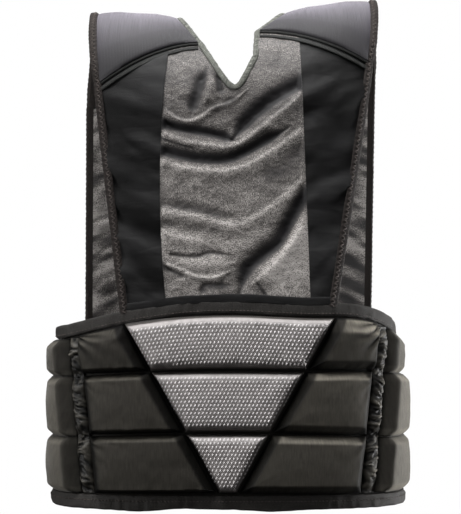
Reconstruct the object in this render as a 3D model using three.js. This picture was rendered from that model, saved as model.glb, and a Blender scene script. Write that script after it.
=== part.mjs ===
// Football back and rib protector: a vest with a padded belt in three rows, a sheer back panel,
// a front panel and padded shoulder straps, in the form that it has when it is worn.
// Millimetres, +Z up. The back of the vest faces -Y, and left and right are as seen from behind.
// The origin lies between the straps on the middle plane of the belt, level with the underside of their
// crests at the neck.
import * as THREE from "three";

const GAP = 0.3; // clearance between neighbouring pieces

// Torso section, a rounded rectangle seen from above, shared by the belt and the panels.
const TORSO_HALF_WIDTH = 172;
const TORSO_HALF_DEPTH = 95;
const TORSO_SQUARENESS = 3.2;

// Belt wall and its edge bindings. Its top edge is highest at the middle of the back, and is pulled up by its
// lift round one place on the right.
const BELT_WALL = 2.5;
const BELT_TOP = { z: -305, drop: 29, lift: 13 };
const LIFT_PLACE = { along: 145, reach: 55 };
const BELT_BOTTOM = { z: -489, drop: 0 };
const BELT_BINDING_THICKNESS = 5;
const TOP_BINDING_HEIGHT = 13;
const BOTTOM_BINDING_HEIGHT = 14;
const BINDING_FLARE = { top: 7, bottom: 11 }; // how far the bindings stand out further at the sides
const RING_STEPS = 48;
const TURN_STEP = (2 * Math.PI) / RING_STEPS;
const HALF_RING_STEPS = 1800;

// Foam pads: rows of the belt, from the middle of the back down to the sides by their drop.
const PAD_ROWS = [
  { name: "upper", top: { z: -307, drop: 29, lift: 13 }, bottom: { z: -360.5, drop: 8, lift: 4 } },
  { name: "middle", top: { z: -363.5, drop: 8, lift: 4 }, bottom: { z: -423.5, drop: 6 } },
  { name: "lower", top: { z: -426.5, drop: 6 }, bottom: { z: -485, drop: 3 } },
];
// Steps of a pad's skin, from its sewn edge to its face: inset from the edge and height above the belt wall.
// The cloth of the pads round the sides and the front is pulled tight, so their edges stand higher.
const PAD_STEPS = {
  back: [
    { inset: 0, height: 0.5 },
    { inset: 0, height: 5 },
    { inset: 6.5, height: 15 },
    { inset: 10, height: 18.5 },
  ],
  side: [
    { inset: 0, height: 0.5 },
    { inset: 0, height: 11.5 },
    { inset: 3.5, height: 16 },
    { inset: 7, height: 18.5 },
  ],
};
const PAD_SEAM = 3; // sewn valley between two pads
const PAD_LEAST_FACE = 1; // width that a face keeps where its edges run together
const PAD_LEAST_COLUMNS = 3;

// The V of grey pads at the middle of the back: half its width at its foot, and how fast it widens upwards.
const V_FOOT = { z: -485, half: 10.5 };
const V_WIDENING = 0.556;
const CENTRE_END_BEVEL = 0.5;

// Gathered channels between the back pads and the side pads, leaning in towards the bottom.
const GATHER_TOP = { z: -335, x: 154 };
const GATHER_BOTTOM = { z: -470, x: 142 };
const GATHER_HALF = 7;
const GATHER_EDGE = 1.2; // height of its sewn edges
const GATHER_HEIGHT = 8.5;
const GATHER_RIPPLE = 2.4;
const GATHER_RIPPLES = 8;
const GATHER_STEPS = 32;
const GATHER_PINCH = { reach: 9, end: 0.07, least: 0.25 }; // pulled down near a sewn line and at the ends
const GATHER_PROFILE = [
  { across: -1, crown: 0 },
  { across: -0.5, crown: 0.7 },
  { across: 0.5, crown: 0.7 },
  { across: 1, crown: 0 },
];

// Upper body: the panels rise straight to the spring line, then arch over the shoulders.
const PANEL_HALF_DEPTH = 98;
const WAIST_TAPER = 4.3;
const SPRING_Z = -95;
const CREST_RISE = 10;
const CREST_POWER = 1.4;
const SHOULDER_LEAN = 0.046; // the right strap sits a little higher than the left

// Edges of the straps, as distances from the middle at the crest and at the back and front seams, and of
// the back's arm edges at the belt. seam is the height of the sewn line under a shoulder pad at the neck,
// and fall is how far it drops towards the arm.
const STRAPS = {
  left: {
    neck: { crest: -48, back: -24.5, front: -43 },
    arm: { crest: -145, back: -136, front: -155, belt: -109.3 },
    seam: -30.5,
    fall: 38,
  },
  right: {
    neck: { crest: 55, back: 26, front: 51 },
    arm: { crest: 157, back: 148, front: 160, belt: 109.3 },
    seam: -20,
    fall: 31,
  },
};
const STRAP_REACH = 75; // along a strap from its crest to its seam
const SEAM_CURVE = { from: 33, span: 99, power: 1.8 };

// Necklines: the lowest place, and on the back the half width, rise and power of the curve on either side.
const BACK_NECK = {
  z: -74,
  centre: 7,
  round: 6,
  left: { half: 26, rise: 42.4, power: 1 },
  right: { half: 13, rise: 30, power: 0.9 },
};
const FRONT_NECK = { z: -120, power: 2.6 };
const FRONT_ARM_AT_BELT = 155.6;

// Soft pieces of the upper body.
const MESH_THICKNESS = 1.2;
const BAND_THICKNESS = 1.6;
const STRAP_EDGE = 4;
const STRAP_CROWN = 9.5;
const STRAP_ROUNDING = { edge: 1.8, end: 4 }; // the larger, the sooner the pad is at its full height
const NECK_BINDING = { width: 6, thickness: 3.4 };
const ARM_BINDING = { width: 9, thickness: 3.8 };
const TAPE_SINK = 1; // how far a tape reaches below the middle of the cloth that it binds
const PIPING_DIAMETER = 4;
const PIPING_RISE = 1;
const PIPING_SIDES = 6;

// Side edges of the grey mesh on the back, at the belt and the shoulder seam, and how far they bow between.
const MESH_EDGES = {
  left: { belt: -62, seam: -60, bow: -7.5 },
  right: { belt: 83.5, seam: 72.5, bow: 0 },
};

// Divisions of the cloth pieces.
const MESH_ROWS = { level: 19, above: 6 };
const MESH_LEVEL = -100; // up to this height the rows of the mesh are level
const BACK_NECK_COLUMNS = 13;
const BACK_CORNER_STEP = 1;
const BACK_SEAM_COLUMNS = { left: 3, right: 4 };
const BAND_ROWS = 12;
const BAND_COLUMNS = 4;
const FRONT_ROWS = 7;
const FRONT_NECK_COLUMNS = 16;
const FRONT_SEAM_COLUMNS = 4;
const STRAP_ROWS = 14;
const STRAP_COLUMNS = 8;
const ARM_BINDING_STEPS = 14;
const STRAP_BINDING_STEPS = 12;
const NECK_BINDING_STEPS = 20;
const PIPING_STEPS = 9;

// Folds of the slack back panel, each a curve from (x1, z1), pulled towards (x2, z2), to (x3, z3).
// lift is how far it stands out, negative for a valley, and spread is half its width.
const FOLD_COLUMNS = ["lift", "spread", "x1", "z1", "x2", "z2", "x3", "z3"];
const FOLDS = [
  [6, 9, 70, -55, 34, -79, -13, -103],
  [-7, 9, 72, -72, 34, -105, 3, -130],
  [-6, 9, -67, -108, -38, -120, 1, -130],
  [6, 9, -65, -124, -6, -152, 74, -116],
  [-5, 9, -65, -142, -3, -172, 47, -134],
  [4, 10, -65, -158, -3, -188, 75, -132],
  [4, 10, -65, -198, 8, -236, 77, -179],
  [3, 10, 77, -183, 42, -218, 7, -223],
  [-7, 10, 77, -192, 42, -250, 9, -282],
  [5, 11, 80, -222, 58, -247, 22, -273],
  [4, 10, -62, -245, -28, -231, 10, -251],
  [-4, 10, -62, -259, -38, -271, -13, -277],
].map((row) => Object.fromEntries(FOLD_COLUMNS.map((name, i) => [name, row[i]])));
const FOLD_SAMPLES = 60;
const ROW_CROWDING = 1.25; // rows of a panel lie closer together towards its top
const FOLD_EDGE_FADE = 14; // folds die out this far from a sewn edge

const lerp = THREE.MathUtils.lerp;
const clamp01 = (t) => THREE.MathUtils.clamp(t, 0, 1);
const steps = (count) => Array.from({ length: count + 1 }, (_, i) => i / count);

// Materials

const cloth = (color, roughness) => new THREE.MeshStandardMaterial({ color, roughness, metalness: 0 });
const NYLON = cloth(0x2b2927, 0.55);
const GREY_MESH = cloth(0x8d8a88, 0.6);
const SILVER_PRINT = cloth(0x9a9698, 0.5);
const BLACK_KNIT = cloth(0x1b1b1c, 0.8);
const NEOPRENE = cloth(0x55525a, 0.85);
const TAPE = cloth(0x232120, 0.9);

// Closed solids from points

// A closed mesh from indexed points; its faces are turned round if they point inwards.
function solid(points, triangles) {
  const volume = triangles.reduce((sum, [a, b, c]) => {
    return sum + points[a].dot(new THREE.Vector3().crossVectors(points[b], points[c]));
  }, 0);
  const outward = volume > 0 ? triangles : triangles.map(([a, b, c]) => [a, c, b]);
  const geometry = new THREE.BufferGeometry().setFromPoints(points);
  geometry.setIndex(outward.flat());
  geometry.computeVertexNormals();
  return geometry;
}

const quad = (a, b, c, d) => [[a, b, c], [a, c, d]];

// A wall between two grids of points with the same rows and columns.
function slab(outer, inner) {
  const rows = outer.length;
  const columns = outer[0].length;
  const at = (side, row, column) => (side * rows + row) * columns + column;
  const triangles = [];
  for (let r = 0; r + 1 < rows; r++) {
    for (let c = 0; c + 1 < columns; c++) {
      triangles.push(...quad(at(0, r, c), at(0, r, c + 1), at(0, r + 1, c + 1), at(0, r + 1, c)));
      triangles.push(...quad(at(1, r, c), at(1, r + 1, c), at(1, r + 1, c + 1), at(1, r, c + 1)));
    }
  }
  const rim = [
    ...outer[0].map((_, c) => [0, c]),
    ...outer.slice(1).map((_, r) => [r + 1, columns - 1]),
    ...outer[0].slice(1).map((_, c) => [rows - 1, columns - 2 - c]),
    ...outer.slice(1, -1).map((_, r) => [rows - 2 - r, 0]),
  ];
  rim.forEach(([r, c], i) => {
    const [r2, c2] = rim[(i + 1) % rim.length];
    triangles.push(...quad(at(0, r, c), at(1, r, c), at(1, r2, c2), at(0, r2, c2)));
  });
  return solid([...outer.flat(), ...inner.flat()], triangles);
}

// A bar through sections of the same number of points: a closed ring, or capped at both ends.
function loft(sections, closed) {
  const count = sections[0].length;
  const last = sections.length - 1;
  const at = (section, corner) => section * count + (corner % count);
  const triangles = [];
  for (let s = 0; s < (closed ? sections.length : last); s++) {
    const next = (s + 1) % sections.length;
    for (let c = 0; c < count; c++) {
      triangles.push(...quad(at(s, c), at(next, c), at(next, c + 1), at(s, c + 1)));
    }
  }
  if (!closed) {
    for (let c = 1; c + 1 < count; c++) {
      triangles.push([at(0, 0), at(0, c), at(0, c + 1)]);
      triangles.push([at(last, 0), at(last, c + 1), at(last, c)]);
    }
  }
  return solid(sections.flat(), triangles);
}

// A bar of the given section along stations, each with a place and the two directions across the bar.
function bar(stations, section, closed) {
  return loft(
    stations.map(({ place, across, out }) =>
      section.map(([a, o]) => place.clone().addScaledVector(across, a).addScaledVector(out, o)),
    ),
    closed,
  );
}

const flatSection = (width, low, high) => [
  [-width / 2, low],
  [width / 2, low],
  [width / 2, high],
  [-width / 2, high],
];

// Belt ring

const sectionPower = (value, power) => Math.sign(value) * Math.abs(value) ** power;

// Points along half of the torso section, from the middle of the back round the right side to the front.
// Equal steps of turn lie close together at the corners and far apart on the flat sides.
const HALF_RING = (() => {
  const points = [];
  for (const share of steps(HALF_RING_STEPS)) {
    const turn = Math.PI * share;
    const x = TORSO_HALF_WIDTH * sectionPower(Math.sin(turn), 2 / TORSO_SQUARENESS);
    const y = -TORSO_HALF_DEPTH * sectionPower(Math.cos(turn), 2 / TORSO_SQUARENESS);
    const before = points.at(-1) ?? { x, y, along: 0 };
    points.push({ turn, x, y, along: before.along + Math.hypot(x - before.x, y - before.y) });
  }
  return points;
})();
const HALF_GIRTH = HALF_RING.at(-1).along;

// A value of the half ring, looked up by another that grows along it.
function ringValue(wanted, by, value) {
  const last = HALF_RING.length - 1;
  const found = HALF_RING.findIndex((p) => p[by] >= value);
  const next = THREE.MathUtils.clamp(found < 0 ? last : found, 1, last);
  const [a, b] = [HALF_RING[next - 1], HALF_RING[next]];
  return lerp(a[wanted], b[wanted], clamp01((value - a[by]) / (b[by] - a[by])));
}

// The place on the torso section at a signed distance from the middle of the back, and its outward direction.
function ringAt(along) {
  const side = along < 0 ? -1 : 1;
  const x = ringValue("x", "along", Math.abs(along));
  const y = ringValue("y", "along", Math.abs(along));
  const nx = sectionPower(x / TORSO_HALF_WIDTH, TORSO_SQUARENESS - 1) / TORSO_HALF_WIDTH;
  const ny = sectionPower(y / TORSO_HALF_DEPTH, TORSO_SQUARENESS - 1) / TORSO_HALF_DEPTH;
  const size = Math.hypot(nx, ny);
  return { x: side * x, y, nx: (side * nx) / size, ny: ny / size };
}

// The distance along the ring of a place on its back half, from its distance to the middle.
const ringAlong = (x) => ringValue("along", "x", x);

const turnAt = (along) => Math.sign(along) * ringValue("turn", "along", Math.abs(along));
const alongAt = (turn) => Math.sign(turn) * ringValue("along", "turn", Math.abs(turn));

// The height of a line round the belt, which drops from the middle of the back to the sides.
function beltLine({ z, drop, lift = 0 }, along) {
  const { x, y } = ringAt(along);
  const level = z - drop * (y < 0 ? (x / TORSO_HALF_WIDTH) ** 2 : 1);
  return level + lift * Math.exp(-(((along - LIFT_PLACE.along) / LIFT_PLACE.reach) ** 2));
}

function beltPoint(along, z, height) {
  const { x, y, nx, ny } = ringAt(along);
  return new THREE.Vector3(x + nx * height, y + ny * height, z);
}

// A band round the belt between two lines, from one height above the belt wall's face to another. At the
// sides it stands out further by its flare.
function beltBand(lower, upper, innerHeight, outerHeight, flare = 0) {
  const sections = steps(RING_STEPS).slice(1).map((share) => {
    const along = alongAt(Math.PI * (2 * share - 1));
    const [low, high] = [lower(along), upper(along)];
    const outer = outerHeight + flare * ringAt(along).nx ** 2;
    return [
      beltPoint(along, low, outer),
      beltPoint(along, high, outer),
      beltPoint(along, high, innerHeight),
      beltPoint(along, low, innerHeight),
    ];
  });
  return loft(sections, true);
}

const beltShell = () =>
  beltBand((s) => beltLine(BELT_BOTTOM, s), (s) => beltLine(BELT_TOP, s), -BELT_WALL, 0);

function beltBinding(line, from, to, flare) {
  const middle = -BELT_WALL / 2;
  const half = BELT_BINDING_THICKNESS / 2;
  const edge = (offset) => (s) => beltLine(line, s) + offset;
  return beltBand(edge(from), edge(to), middle - half, middle + half, flare);
}

// Belt pads

// A pad on the belt. Its left and right edges are distances along the ring at a height, and the bevels at its
// ends are a share as wide as those along its top and bottom.
function beltPad({ top, bottom }, { left: leftEdge, right: rightEdge, endBevel, skin }) {
  const middle = (top.z + bottom.z) / 2;
  const turns = turnAt(rightEdge(middle)) - turnAt(leftEdge(middle));
  const shares = steps(Math.max(PAD_LEAST_COLUMNS, Math.ceil(turns / TURN_STEP)));
  const edgeSlope = (edge) => (edge(top.z) - edge(bottom.z)) / (top.z - bottom.z);
  const slant = (edge) => Math.hypot(1, edgeSlope(edge));
  const point = (share, up, inset, height) => {
    const guess = alongAt(lerp(turnAt(leftEdge(middle)), turnAt(rightEdge(middle)), share));
    const z = lerp(beltLine(bottom, guess) + inset, beltLine(top, guess) - inset, up);
    const left = leftEdge(z) + endBevel * inset * slant(leftEdge);
    const right = Math.max(left + PAD_LEAST_FACE, rightEdge(z) - endBevel * inset * slant(rightEdge));
    return beltPoint(alongAt(lerp(turnAt(left), turnAt(right), share)), z, height);
  };
  const points = [];
  const row = (up, { inset, height }) =>
    shares.map((share) => points.push(point(share, up, inset, height)) - 1);
  const loops = skin.map((step) => [row(0, step), row(0.5, step), row(1, step)]);
  const around = ([low, middle, high]) => [...low, middle.at(-1), ...high.toReversed(), middle[0]];
  const triangles = [];
  loops.slice(1).forEach((loop, i) => {
    const under = around(loops[i]);
    const over = around(loop);
    under.forEach((_, k) => {
      const next = (k + 1) % under.length;
      triangles.push(...quad(under[k], under[next], over[next], over[k]));
    });
  });
  const strip = (a, b) => a.slice(1).flatMap((_, k) => quad(a[k], a[k + 1], b[k + 1], b[k]));
  const [baseLow, baseMiddle, baseHigh] = loops[0];
  const [faceLow, faceMiddle, faceHigh] = loops.at(-1);
  triangles.push(...strip(baseHigh, baseMiddle), ...strip(baseMiddle, baseLow));
  triangles.push(...strip(faceLow, faceMiddle), ...strip(faceMiddle, faceHigh));
  return solid(points, triangles);
}

const vEdge = (z) => ringAlong(V_FOOT.half + V_WIDENING * Math.max(0, z - V_FOOT.z));

function gatherLine(z) {
  const t = (z - GATHER_BOTTOM.z) / (GATHER_TOP.z - GATHER_BOTTOM.z);
  return ringAlong(lerp(GATHER_BOTTOM.x, GATHER_TOP.x, t));
}

// The pads of one row, by name, with the distances along the ring of their left and right edges and the
// steps of their skin.
function padColumns() {
  const half = PAD_SEAM / 2;
  const toRight = {
    back: [(z) => vEdge(z) + half, (z) => gatherLine(z) - GATHER_HALF - GAP],
    side: [(z) => gatherLine(z) + GATHER_HALF + GAP, (z) => HALF_GIRTH - gatherLine(z) - half],
    front: [(z) => HALF_GIRTH - gatherLine(z) + half, () => HALF_GIRTH - half],
  };
  const centre = { left: (z) => half - vEdge(z), right: (z) => vEdge(z) - half };
  const columns = { centre: { ...centre, endBevel: CENTRE_END_BEVEL, skin: PAD_STEPS.back } };
  for (const [name, [near, far]] of Object.entries(toRight)) {
    const form = { endBevel: 1, skin: name === "back" ? PAD_STEPS.back : PAD_STEPS.side };
    columns[`${name}_right`] = { left: near, right: far, ...form };
    columns[`${name}_left`] = { left: (z) => -far(z), right: (z) => -near(z), ...form };
  }
  return columns;
}

// The ruffled channel: pulled flat at the sewn lines between rows, and rippled in between.
function gather(side) {
  const top = PAD_ROWS[0].top;
  const bottom = PAD_ROWS.at(-1).bottom;
  const seams = PAD_ROWS.slice(1).map((row) => row.top);
  const grid = (raised) =>
    steps(GATHER_STEPS).map((up) => {
      const guess = gatherLine(lerp(bottom.z, top.z, up));
      const z = lerp(beltLine(bottom, side * guess), beltLine(top, side * guess), up);
      const along = gatherLine(z);
      const nearest = Math.min(...seams.map((line) => Math.abs(z - beltLine(line, side * along))));
      const { reach, end, least } = GATHER_PINCH;
      const puff = lerp(least, 1, clamp01(nearest / reach) * clamp01(Math.min(up, 1 - up) / end));
      const ripple = GATHER_RIPPLE * Math.sin(2 * Math.PI * GATHER_RIPPLES * up);
      const height = (GATHER_HEIGHT + ripple) * puff;
      return GATHER_PROFILE.map(({ across, crown }) =>
        beltPoint(side * (along + across * GATHER_HALF), z, raised ? GATHER_EDGE + height * crown : GAP),
      );
    });
  return slab(grid(true), grid(false));
}

// Upper body surface

const lean = (x) => SHOULDER_LEAN * x;
const strapAt = (x) => (x < 0 ? STRAPS.left : STRAPS.right);

function crestZ(x) {
  const { neck, arm } = strapAt(x);
  const share = clamp01((x - neck.crest) / (arm.crest - neck.crest));
  return CREST_RISE * share ** CREST_POWER + lean(x);
}

const sectionDepth = (x) =>
  (1 - Math.min(1, Math.abs(x / TORSO_HALF_WIDTH)) ** TORSO_SQUARENESS) ** (1 / TORSO_SQUARENESS);

// A place over the shoulder: the angle runs from 0 at the back's spring line to half a turn at the front's.
function archPoint(x, angle) {
  const y = -PANEL_HALF_DEPTH * sectionDepth(x) * Math.cos(angle);
  return new THREE.Vector3(x, y, SPRING_Z + (crestZ(x) - SPRING_Z) * Math.sin(angle));
}

// A place on the back (side -1) or the front (side 1) at a height.
function panelPoint(side, x, z) {
  const above = clamp01((z - SPRING_Z) / (crestZ(x) - SPRING_Z));
  const below = Math.max(0, SPRING_Z - z) / (SPRING_Z - BELT_TOP.z);
  const depth = (PANEL_HALF_DEPTH - WAIST_TAPER * below ** 2) * sectionDepth(x) * Math.sqrt(1 - above ** 2);
  return new THREE.Vector3(x, side * depth, z);
}

// The outward direction of a surface at a place, from its neighbours.
function outward(surface, a, b) {
  const reach = 1e-2;
  const alongA = surface(a + reach, b).sub(surface(a - reach, b));
  const alongB = surface(a, b + reach).sub(surface(a, b - reach));
  const normal = alongA.cross(alongB).normalize();
  const place = surface(a, b);
  const away = new THREE.Vector3(0, place.y, Math.max(0, place.z - SPRING_Z));
  return normal.dot(away) < 0 ? normal.negate() : normal;
}

// Edges of the garment

// The sewn line between a shoulder pad and the panel below it.
function seamZ(x) {
  const { seam, fall } = strapAt(x);
  const share = Math.max(0, (Math.abs(x) - SEAM_CURVE.from) / SEAM_CURVE.span);
  return seam - fall * share ** SEAM_CURVE.power + lean(x);
}

function backArm(side, z) {
  const { back, belt } = strapAt(side).arm;
  return lerp(belt, back, (z - BELT_TOP.z) / (seamZ(back) - BELT_TOP.z));
}

function beltEdgeZ(x, side) {
  const along = ringAlong(Math.abs(x));
  const place = side < 0 ? along : HALF_GIRTH - along;
  return beltLine(BELT_TOP, x < 0 ? -place : place) + TOP_BINDING_HEIGHT + 2 * GAP;
}

// An edge of a strap, with its shift from the crest in proportion to the square of the way over.
// over runs from -1 at the back seam through 0 at the crest to 1 at the front seam.
function strapEdge({ crest, back, front }, over, inset) {
  const shift = (over < 0 ? back : front) - crest;
  const slant = Math.hypot(1, (2 * shift * over) / STRAP_REACH);
  return crest + shift * over ** 2 + inset * slant;
}

// Neck and arm edges of a strap on one side, moved into the strap by an inset.
const strapNeck = (side, over, inset) => strapEdge(strapAt(side).neck, over, side * inset);
const strapArm = (side, over, inset) => strapEdge(strapAt(side).arm, over, -side * inset);

// The angle over the shoulder of a place on a strap.
function strapAngle(x, over) {
  const rise = clamp01((seamZ(x) - SPRING_Z) / (crestZ(x) - SPRING_Z));
  return Math.PI / 2 + over * (Math.PI / 2 - Math.asin(rise));
}

const NECK_CLEAR = NECK_BINDING.width + 6 * GAP;
const ARM_CLEAR = ARM_BINDING.width + 2 * GAP;
const SEAM_CLEAR = PIPING_DIAMETER / 2 + 2 * GAP;

// The necklines, as x and z; share runs from the left strap to the right one.
function backNeckline(share) {
  const x = lerp(strapNeck(-1, -1, 0), strapNeck(1, -1, 0), share);
  const { z, centre, round } = BACK_NECK;
  const { half, rise, power } = x < centre ? BACK_NECK.left : BACK_NECK.right;
  const away = Math.hypot(x - centre, round) - round;
  return [x, z + rise * (away / half) ** power];
}

function frontNeckline(share) {
  const ends = [strapNeck(-1, 1, 0), strapNeck(1, 1, 0)];
  const across = -Math.cos(Math.PI * share);
  const corner = seamZ(across < 0 ? ends[0] : ends[1]);
  const z = lerp(FRONT_NECK.z, corner, Math.abs(across) ** FRONT_NECK.power);
  return [lerp(...ends, (1 + across) / 2), z];
}

// A place on a neckline moved into the cloth by an inset, and kept clear of the shoulder seam.
function neckPlace(line, share, inset, clear) {
  const reach = 1e-3;
  const [x, z] = line(share);
  const [x1, z1] = line(Math.max(0, share - reach));
  const [x2, z2] = line(Math.min(1, share + reach));
  const run = Math.hypot(x2 - x1, z2 - z1);
  const movedX = x + (inset * (z2 - z1)) / run;
  return [movedX, Math.min(z - (inset * (x2 - x1)) / run, seamZ(movedX) - clear)];
}

// Folds

const foldCurves = FOLDS.map(({ lift, spread, x1, z1, x2, z2, x3, z3 }) => {
  const curve = new THREE.QuadraticBezierCurve(
    new THREE.Vector2(x1, z1),
    new THREE.Vector2(x2, z2),
    new THREE.Vector2(x3, z3),
  );
  return { lift, spread, points: curve.getPoints(FOLD_SAMPLES) };
});

function foldLift(x, z) {
  const place = new THREE.Vector2(x, z);
  return foldCurves.reduce((sum, { lift, spread, points }) => {
    const away = Math.min(...points.map((p) => p.distanceTo(place)));
    return sum + lift * Math.exp(-((away / spread) ** 2));
  }, 0);
}

// Panels

// How much of a bow shows at a share of the way up.
const bowed = (up) => 4 * up * (1 - up);

// A cloth panel with columns from each place on its lower edge to that on its upper edge, and rows at the
// heights that a function gives for both. The bows of its first and last columns go over into one another.
function panel({ side, heights, low, high, bows = [0, 0], thickness, lift = () => 0 }) {
  const surface = (x, z) => panelPoint(side, x, z);
  const column = ([lowX, lowZ], [highX, highZ], bow, offset) =>
    heights(lowZ, highZ).map((z) => {
      const up = (z - lowZ) / (highZ - lowZ);
      const x = lerp(lowX, highX, up) + bow * bowed(up);
      const shown = clamp01(Math.min(z - lowZ, highZ - z) / FOLD_EDGE_FADE) * lift(x, z);
      return surface(x, z).addScaledVector(outward(surface, x, z), offset + shown);
    });
  const grid = (offset) =>
    high.map((top, i) => column(low[i], top, lerp(...bows, i / (high.length - 1)), offset));
  return slab(grid(thickness / 2), grid(-thickness / 2));
}

// Heights of the rows of a panel, closer together towards its top.
const crowdedRows = (count) => (low, high) =>
  steps(count).map((share) => lerp(low, high, 1 - (1 - share) ** ROW_CROWDING));

const meshRows = (low, high) => [
  ...spread(low, MESH_LEVEL, MESH_ROWS.level).slice(0, -1),
  ...spread(MESH_LEVEL, high, MESH_ROWS.above),
];

const spread = (from, to, count) => steps(count).map((share) => lerp(from, to, share));
const alongBelt = (side, from, to, count) => spread(from, to, count).map((x) => [x, beltEdgeZ(x, side)]);
const alongSeam = (from, to, count) => spread(from, to, count).map((x) => [x, seamZ(x) - SEAM_CLEAR]);
const alongNeck = (line, count) =>
  steps(count).map((share) => neckPlace(line, share, NECK_CLEAR, SEAM_CLEAR));

// The side edge of the mesh at a height.
function meshEdge({ belt, seam, bow }, z) {
  const up = clamp01((z - BELT_TOP.z) / (seamZ(seam) - BELT_TOP.z));
  return lerp(belt, seam, up) + bow * bowed(up);
}

// How far folds show at a place of the mesh, dying out towards the bands at its sides.
function meshLift(x, z) {
  const toSide = Math.min(x - meshEdge(MESH_EDGES.left, z), meshEdge(MESH_EDGES.right, z) - x);
  return foldLift(x, z) * clamp01(toSide / FOLD_EDGE_FADE);
}

// The mesh between the belt, the bands, the shoulder seams and the neck. On the right the neckline ends
// below the seam, and the edge of the mesh runs steeply up from there.
function backMesh() {
  const { left, right } = MESH_EDGES;
  const neck = alongNeck(backNeckline, BACK_NECK_COLUMNS);
  const high = [
    ...alongSeam(left.seam, neck[0][0], BACK_SEAM_COLUMNS.left).slice(0, -1),
    ...neck,
    ...alongSeam(neck.at(-1)[0] + BACK_CORNER_STEP, right.seam, BACK_SEAM_COLUMNS.right),
  ];
  const low = high.map(([x]) => {
    const foot = lerp(left.belt, right.belt, (x - left.seam) / (right.seam - left.seam));
    return [foot, beltEdgeZ(foot, -1)];
  });
  const bows = [left.bow, right.bow];
  return panel({ side: -1, heights: meshRows, low, high, bows, thickness: MESH_THICKNESS, lift: meshLift });
}

function backBand(name, side) {
  const mesh = MESH_EDGES[name];
  const arm = backArm(side, BELT_TOP.z) - side * ARM_CLEAR;
  const low = alongBelt(-1, mesh.belt + side * GAP, arm, BAND_COLUMNS);
  const high = alongSeam(mesh.seam + side * GAP, strapArm(side, -1, ARM_CLEAR), BAND_COLUMNS);
  const heights = crowdedRows(BAND_ROWS);
  return panel({ side: -1, heights, low, high, bows: [mesh.bow, 0], thickness: BAND_THICKNESS });
}

function frontPanel() {
  const belt = FRONT_ARM_AT_BELT - ARM_CLEAR;
  const neck = alongNeck(frontNeckline, FRONT_NECK_COLUMNS);
  const high = [
    ...alongSeam(strapArm(-1, 1, ARM_CLEAR), neck[0][0], FRONT_SEAM_COLUMNS).slice(0, -1),
    ...neck,
    ...alongSeam(neck.at(-1)[0], strapArm(1, 1, ARM_CLEAR), FRONT_SEAM_COLUMNS).slice(1),
  ];
  const low = alongBelt(1, -belt, belt, high.length - 1);
  return panel({ side: 1, heights: crowdedRows(FRONT_ROWS), low, high, thickness: BAND_THICKNESS });
}

// Shoulder straps

function shoulderPad(side) {
  const end = 1 - SEAM_CLEAR / STRAP_REACH;
  const grid = (raised) =>
    spread(-end, end, STRAP_ROWS).map((over) => {
      const inner = strapNeck(side, over, NECK_CLEAR);
      const outer = strapArm(side, over, ARM_CLEAR);
      return steps(STRAP_COLUMNS).map((share) => {
        const x = lerp(inner, outer, share);
        const angle = strapAngle(x, over);
        const toEdge = clamp01(Math.min(share, 1 - share) * 2 * STRAP_ROUNDING.edge);
        const toSeam = clamp01((end - Math.abs(over)) * STRAP_ROUNDING.end);
        const height = raised ? lerp(STRAP_EDGE, STRAP_CROWN, Math.sqrt(toEdge * toSeam)) : 0;
        return archPoint(x, angle).addScaledVector(outward(archPoint, x, angle), height);
      });
    });
  return slab(grid(true), grid(false));
}

// A station of a tape that lies on a surface: its place, the direction across it and the outward direction.
function tapeStations(places, closed) {
  return places.map(({ point, out }, i) => {
    const before = places[closed ? (i + places.length - 1) % places.length : Math.max(0, i - 1)].point;
    const after = places[closed ? (i + 1) % places.length : Math.min(places.length - 1, i + 1)].point;
    const run = after.clone().sub(before);
    const across = run.cross(out).normalize();
    return { place: point, across, out };
  });
}

const onStrap = (x, over) => {
  const angle = strapAngle(x, over);
  return { point: archPoint(x, angle), out: outward(archPoint, x, angle) };
};

const onPanel = (side, x, z) => {
  const surface = (a, b) => panelPoint(side, a, b);
  return { point: surface(x, z), out: outward(surface, x, z) };
};

// The edging of an armhole: up the back, over the strap and down the front.
function armBinding(side) {
  const { width, thickness } = ARM_BINDING;
  const inset = width / 2;
  const up = steps(ARM_BINDING_STEPS).slice(0, -1);
  const atBelt = backArm(side, BELT_TOP.z);
  const backFoot = Math.max(beltEdgeZ(atBelt, -1), beltEdgeZ(atBelt - side * width, -1)) + 2 * GAP;
  const back = up.map((share) => {
    const z = lerp(backFoot, seamZ(strapArm(side, -1, 0)), share);
    return onPanel(-1, backArm(side, z) - side * inset, z);
  });
  const over = spread(-1, 1, STRAP_BINDING_STEPS);
  const strap = over.map((place) => onStrap(strapArm(side, place, inset), place));
  const frontFoot = beltEdgeZ(FRONT_ARM_AT_BELT, 1);
  const front = up.toReversed().map((share) => {
    const x = lerp(side * (FRONT_ARM_AT_BELT - inset), strapArm(side, 1, inset), share);
    return onPanel(1, x, lerp(frontFoot, seamZ(strapArm(side, 1, 0)), share));
  });
  const stations = tapeStations([...back, ...strap, ...front], false);
  return bar(stations, flatSection(width, -TAPE_SINK, thickness - TAPE_SINK), false);
}

// The edging of the neck, a whole ring: along the back, over both straps and round the front.
function neckBinding() {
  const { width, thickness } = NECK_BINDING;
  const inset = width / 2;
  const over = spread(-1, 1, STRAP_BINDING_STEPS);
  const strap = (side, places) => places.map((place) => onStrap(strapNeck(side, place, inset), place));
  const between = steps(NECK_BINDING_STEPS).slice(1, -1);
  const back = between.map((share) => onPanel(-1, ...neckPlace(backNeckline, share, inset, 0)));
  const front = between.map((share) => onPanel(1, ...neckPlace(frontNeckline, share, inset, 0)));
  const loop = [...back, ...strap(1, over), ...front.toReversed(), ...strap(-1, over.toReversed())];
  return bar(tapeStations(loop, true), flatSection(width, -TAPE_SINK, thickness - TAPE_SINK), true);
}

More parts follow.
